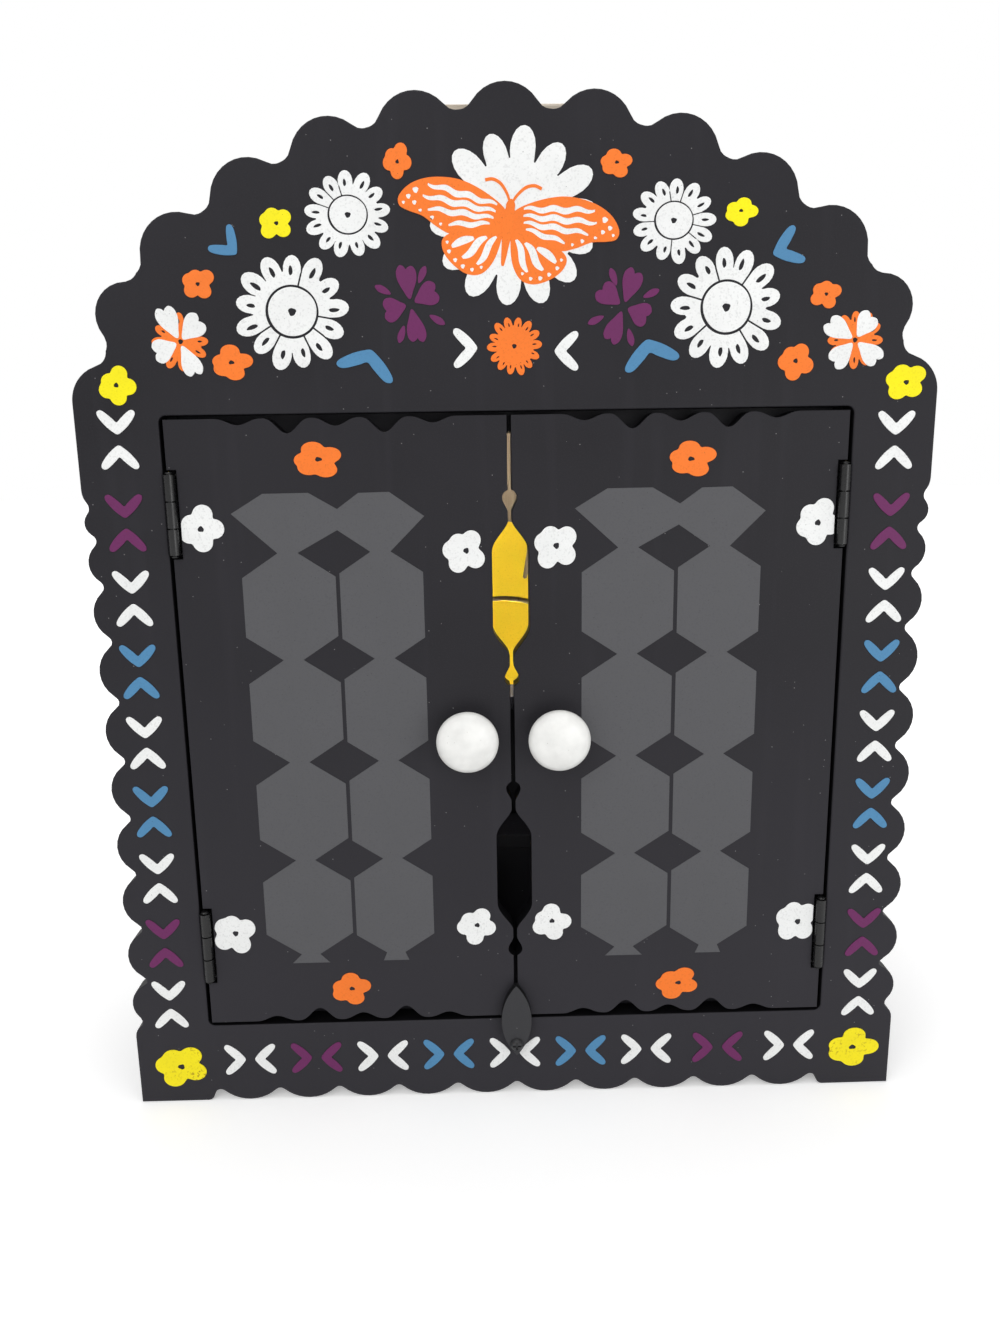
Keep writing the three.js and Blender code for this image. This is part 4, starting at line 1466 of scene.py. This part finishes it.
@dataclass
class CaseBox:
    """Boards behind the front, the inner steps and the sun on the back panel.

    The groove has its radii as shares of the radius of the sun.
    """

    painted: tuple[str, ...] = (
        "left_side", "right_side", "top_rail", "bottom_board",
        "tier_1_tread", "tier_1_riser", "tier_2_tread", "tier_2_riser",
    )
    bare: tuple[tuple[str, BareWood], ...] = (
        ("back_panel", PANEL_WOOD),
        ("crest_brace", LIT_BRACE_WOOD),
    )
    sun: Mark = Mark(0.0, 150.0, 144.0, 144.0, -2.7, 51)
    groove: Point = (0.54, 0.51)

    def build(self, frame: dict) -> None:
        """Build the boards and the nails, and paint the sun.

        Args:
            frame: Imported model.
        """
        for node in self.painted:
            Board(
                node, Body.ALTAR, Slot.BLACK_PAINT, BOARD_BLACK, Rim.LONG, 0.5, False
            ).build(frame)
        for node, wood in self.bare:
            Board(node, Body.ALTAR, Slot.BARE_WOOD, wood, Rim.LONG, 0.4).build(frame)
        sun = PetalRing(20, 0.62, self.sun.seed, 0.84).draw()
        sun += Drawing(tuple(ring(radius, 80) for radius in self.groove))
        face = PaintedFace(Body.ALTAR, "back_panel")
        face.paint("back_sun", Ink.SUN, [self.sun.put(sun)], 0.16, 0.06)
        nails = [f"{side}_side_nail_{number}" for side in ("left", "right") for number in (1, 2, 3)]
        for node in (*nails, "bottom_board_nail_1"):
            Fitting(node, Body.ALTAR, Slot.STEEL, STEEL_BRIGHT, 0.1).build(frame)


@dataclass
class Hinges:
    """Four black hinges, each with two leaves, a pin and four screws."""

    sides: tuple[str, ...] = ("left", "right")
    heights: tuple[str, ...] = ("upper", "lower")
    fixed: tuple[str, ...] = ("frame_leaf", "pin", "frame_screw_1", "frame_screw_2")
    turning: tuple[str, ...] = ("door_leaf", "door_screw_1", "door_screw_2")

    def build(self, frame: dict) -> None:
        """Build every piece of every hinge.

        Args:
            frame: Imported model.
        """
        for side, height in ((side, height) for side in self.sides for height in self.heights):
            for part in self.fixed + self.turning:
                body = Body.ALTAR if part in self.fixed else Body(f"{side}_door")
                node = f"{side}_{height}_hinge_{part}"
                Fitting(node, body, Slot.BLACK_METAL, METAL_BLACK).build(frame)


@dataclass
class TurnButton:
    """Leaf-shaped latch and the cross-headed screw that it turns on, with the easing of both."""

    ease: float = 0.25
    screw: float = 0.15

    def build(self, frame: dict) -> None:
        """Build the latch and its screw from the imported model."""
        Board("latch", Body.LATCH, Slot.BLACK_PAINT, LATCH_BLACK, Rim.FACES, self.ease).build(frame)
        Fitting("latch_screw", Body.ALTAR, Slot.BLACK_METAL, SCREW_BLACK, self.screw).build(frame)


@dataclass(frozen=True)
class Lamp:
    """Round studio lamp, with its place and aim in metres and its beam in degrees.

    A lamp with a list of pieces lights only those.
    """

    name: str
    place: Triple
    size: float
    power: float
    aim: Triple = (0.0, 0.0, 0.16)
    beam: float = 180.0
    only: tuple[str, ...] = ()

    def build(self) -> None:
        """Hang the lamp and turn it to its aim."""
        lamp = bpy.data.lights.new(self.name, "AREA")
        lamp.shape = "DISK"
        lamp.size = self.size
        lamp.energy = self.power
        lamp.spread = math.radians(self.beam)
        holder = bpy.data.objects.new(self.name, lamp)
        holder.location = self.place
        ahead = Vector(self.aim) - Vector(self.place)
        holder.rotation_euler = ahead.to_track_quat("-Z", "Y").to_euler()
        bpy.context.scene.collection.objects.link(holder)
        if self.only:
            lit = bpy.data.collections.new(f"lit_by_{self.name}")
            for piece in self.only:
                lit.objects.link(bpy.data.objects[piece])
            holder.light_linking.receiver_collection = lit


@dataclass
class Studio:
    """Pale floor, soft lamps, white surroundings and the camera.

    The camera's place is in millimetres from the front of the board, and its angles in degrees.
    """

    camera_place: Triple = (-11.37, -357.7, 251.74)
    yaw: float = 1.12725
    pitch: float = 12.05724
    roll: float = -0.87416
    lens: float = 27.0
    sensor: float = 36.0
    near_clip: float = 0.01
    sky: float = 0.57
    floor_size: float = 12.0
    lamps: tuple[Lamp, ...] = (
        Lamp("key_lamp", (-0.55, -1.15, 1.05), 1.1, 6.0),
        Lamp("fill_lamp", (0.80, -1.05, 0.30), 0.8, 4.1),
        Lamp("top_lamp", (0.0, -0.20, 1.35), 0.7, 2.7),
        Lamp(
            "inside_lamp", (0.0, -0.05, 1.0), 0.04, 0.11, (0.0, 0.05, 0.21), 9.0,
            ("back_panel_eased", "back_sun", "tier_2_tread_eased"),
        ),
    )

    def build(self) -> None:
        """Build the surroundings and set the view."""
        self.lay_floor()
        self.light_world()
        for lamp in self.lamps:
            lamp.build()
        self.set_camera()
        bpy.context.scene.view_settings.view_transform = "Standard"

    def lay_floor(self) -> None:
        """Lay the floor, which shows white in the light and keeps the shadow."""
        bpy.ops.object.select_all(action="DESELECT")
        bpy.ops.mesh.primitive_plane_add(size=self.floor_size)
        floor = bpy.context.view_layer.objects.active
        floor.name = "pale_floor"
        floor.data.materials.append(FLOOR_PAPER.material())

    def light_world(self) -> None:
        """Make the surroundings white to the eye and softer as a light."""
        world = bpy.data.worlds.new("white_room")
        bpy.context.scene.world = world
        sheet = NodeSheet(world)
        seen = sheet.add("LightPath", "Is Camera Ray")
        light, white = (
            sheet.add("Background", 0, {"Color": WHITE_LIGHT, "Strength": strength})
            for strength in (self.sky, 1.0)
        )
        sheet.end("World", sheet.add("MixShader", 0, {0: seen, 1: light, 2: white}))

    def set_camera(self) -> None:
        """Set the camera in front of the face frame, a little above and turned."""
        camera = bpy.data.cameras.new("front_camera")
        camera.lens = self.lens
        camera.sensor_width = self.sensor
        camera.clip_start = self.near_clip
        holder = bpy.data.objects.new("front_camera", camera)
        bpy.context.scene.collection.objects.link(holder)
        yaw, pitch, roll = (math.radians(angle) for angle in (self.yaw, self.pitch, self.roll))
        flat = math.cos(pitch)
        ahead = Vector((math.sin(yaw) * flat, math.cos(yaw) * flat, -math.sin(pitch)))
        level = Vector((math.cos(yaw), -math.sin(yaw), 0.0))
        above = level.cross(ahead)
        right = math.cos(roll) * level + math.sin(roll) * above
        up = math.cos(roll) * above - math.sin(roll) * level
        x, y, z = self.camera_place
        place = Vector((x * MM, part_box("face_frame")[0].y + y * MM, z * MM))
        columns = Matrix((right, up, -ahead)).transposed().to_4x4()
        holder.matrix_world = Matrix.Translation(place) @ columns
        bpy.context.scene.camera = holder


def main() -> None:
    """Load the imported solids, dress every piece and set the studio."""
    logging.basicConfig(level=logging.INFO, format="%(message)s")
    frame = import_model()
    bpy.ops.object.select_all(action="DESELECT")
    FaceFrame().build(frame)
    CaseBox().build(frame)
    Door(
        side="left",
        shift=0.0,
        white_flowers=(
            Mark(-108.9, 227.2, 15.6, 16.4, 70.0, 61),
            Mark(-16.7, 217.5, 14.8, 14.8, 40.0, 62),
            Mark(-108.0, 71.7, 15.6, 15.4, 15.0, 63),
            Mark(-15.0, 72.6, 14.8, 14.8, 55.0, 64),
        ),
        orange_flowers=(
            Mark(-66.9, 250.4, 16.3, 12.0, 96.0, 65),
            Mark(-64.2, 47.6, 14.8, 13.3, 84.0, 66),
        ),
    ).build(frame)
    Door(
        side="right",
        shift=121.5,
        white_flowers=(
            Mark(110.3, 226.0, 15.6, 16.4, 62.0, 71),
            Mark(16.1, 218.5, 14.8, 14.8, 30.0, 72),
            Mark(109.6, 71.8, 15.6, 15.4, 25.0, 73),
            Mark(14.3, 73.9, 14.8, 14.8, 75.0, 74),
        ),
        orange_flowers=(
            Mark(64.7, 248.8, 16.3, 12.1, 90.0, 75),
            Mark(63.3, 46.4, 16.2, 13.0, 50.0, 76),
        ),
    ).build(frame)
    Hinges().build(frame)
    TurnButton().build(frame)
    Studio().build()


if __name__ == "__main__":
    main()
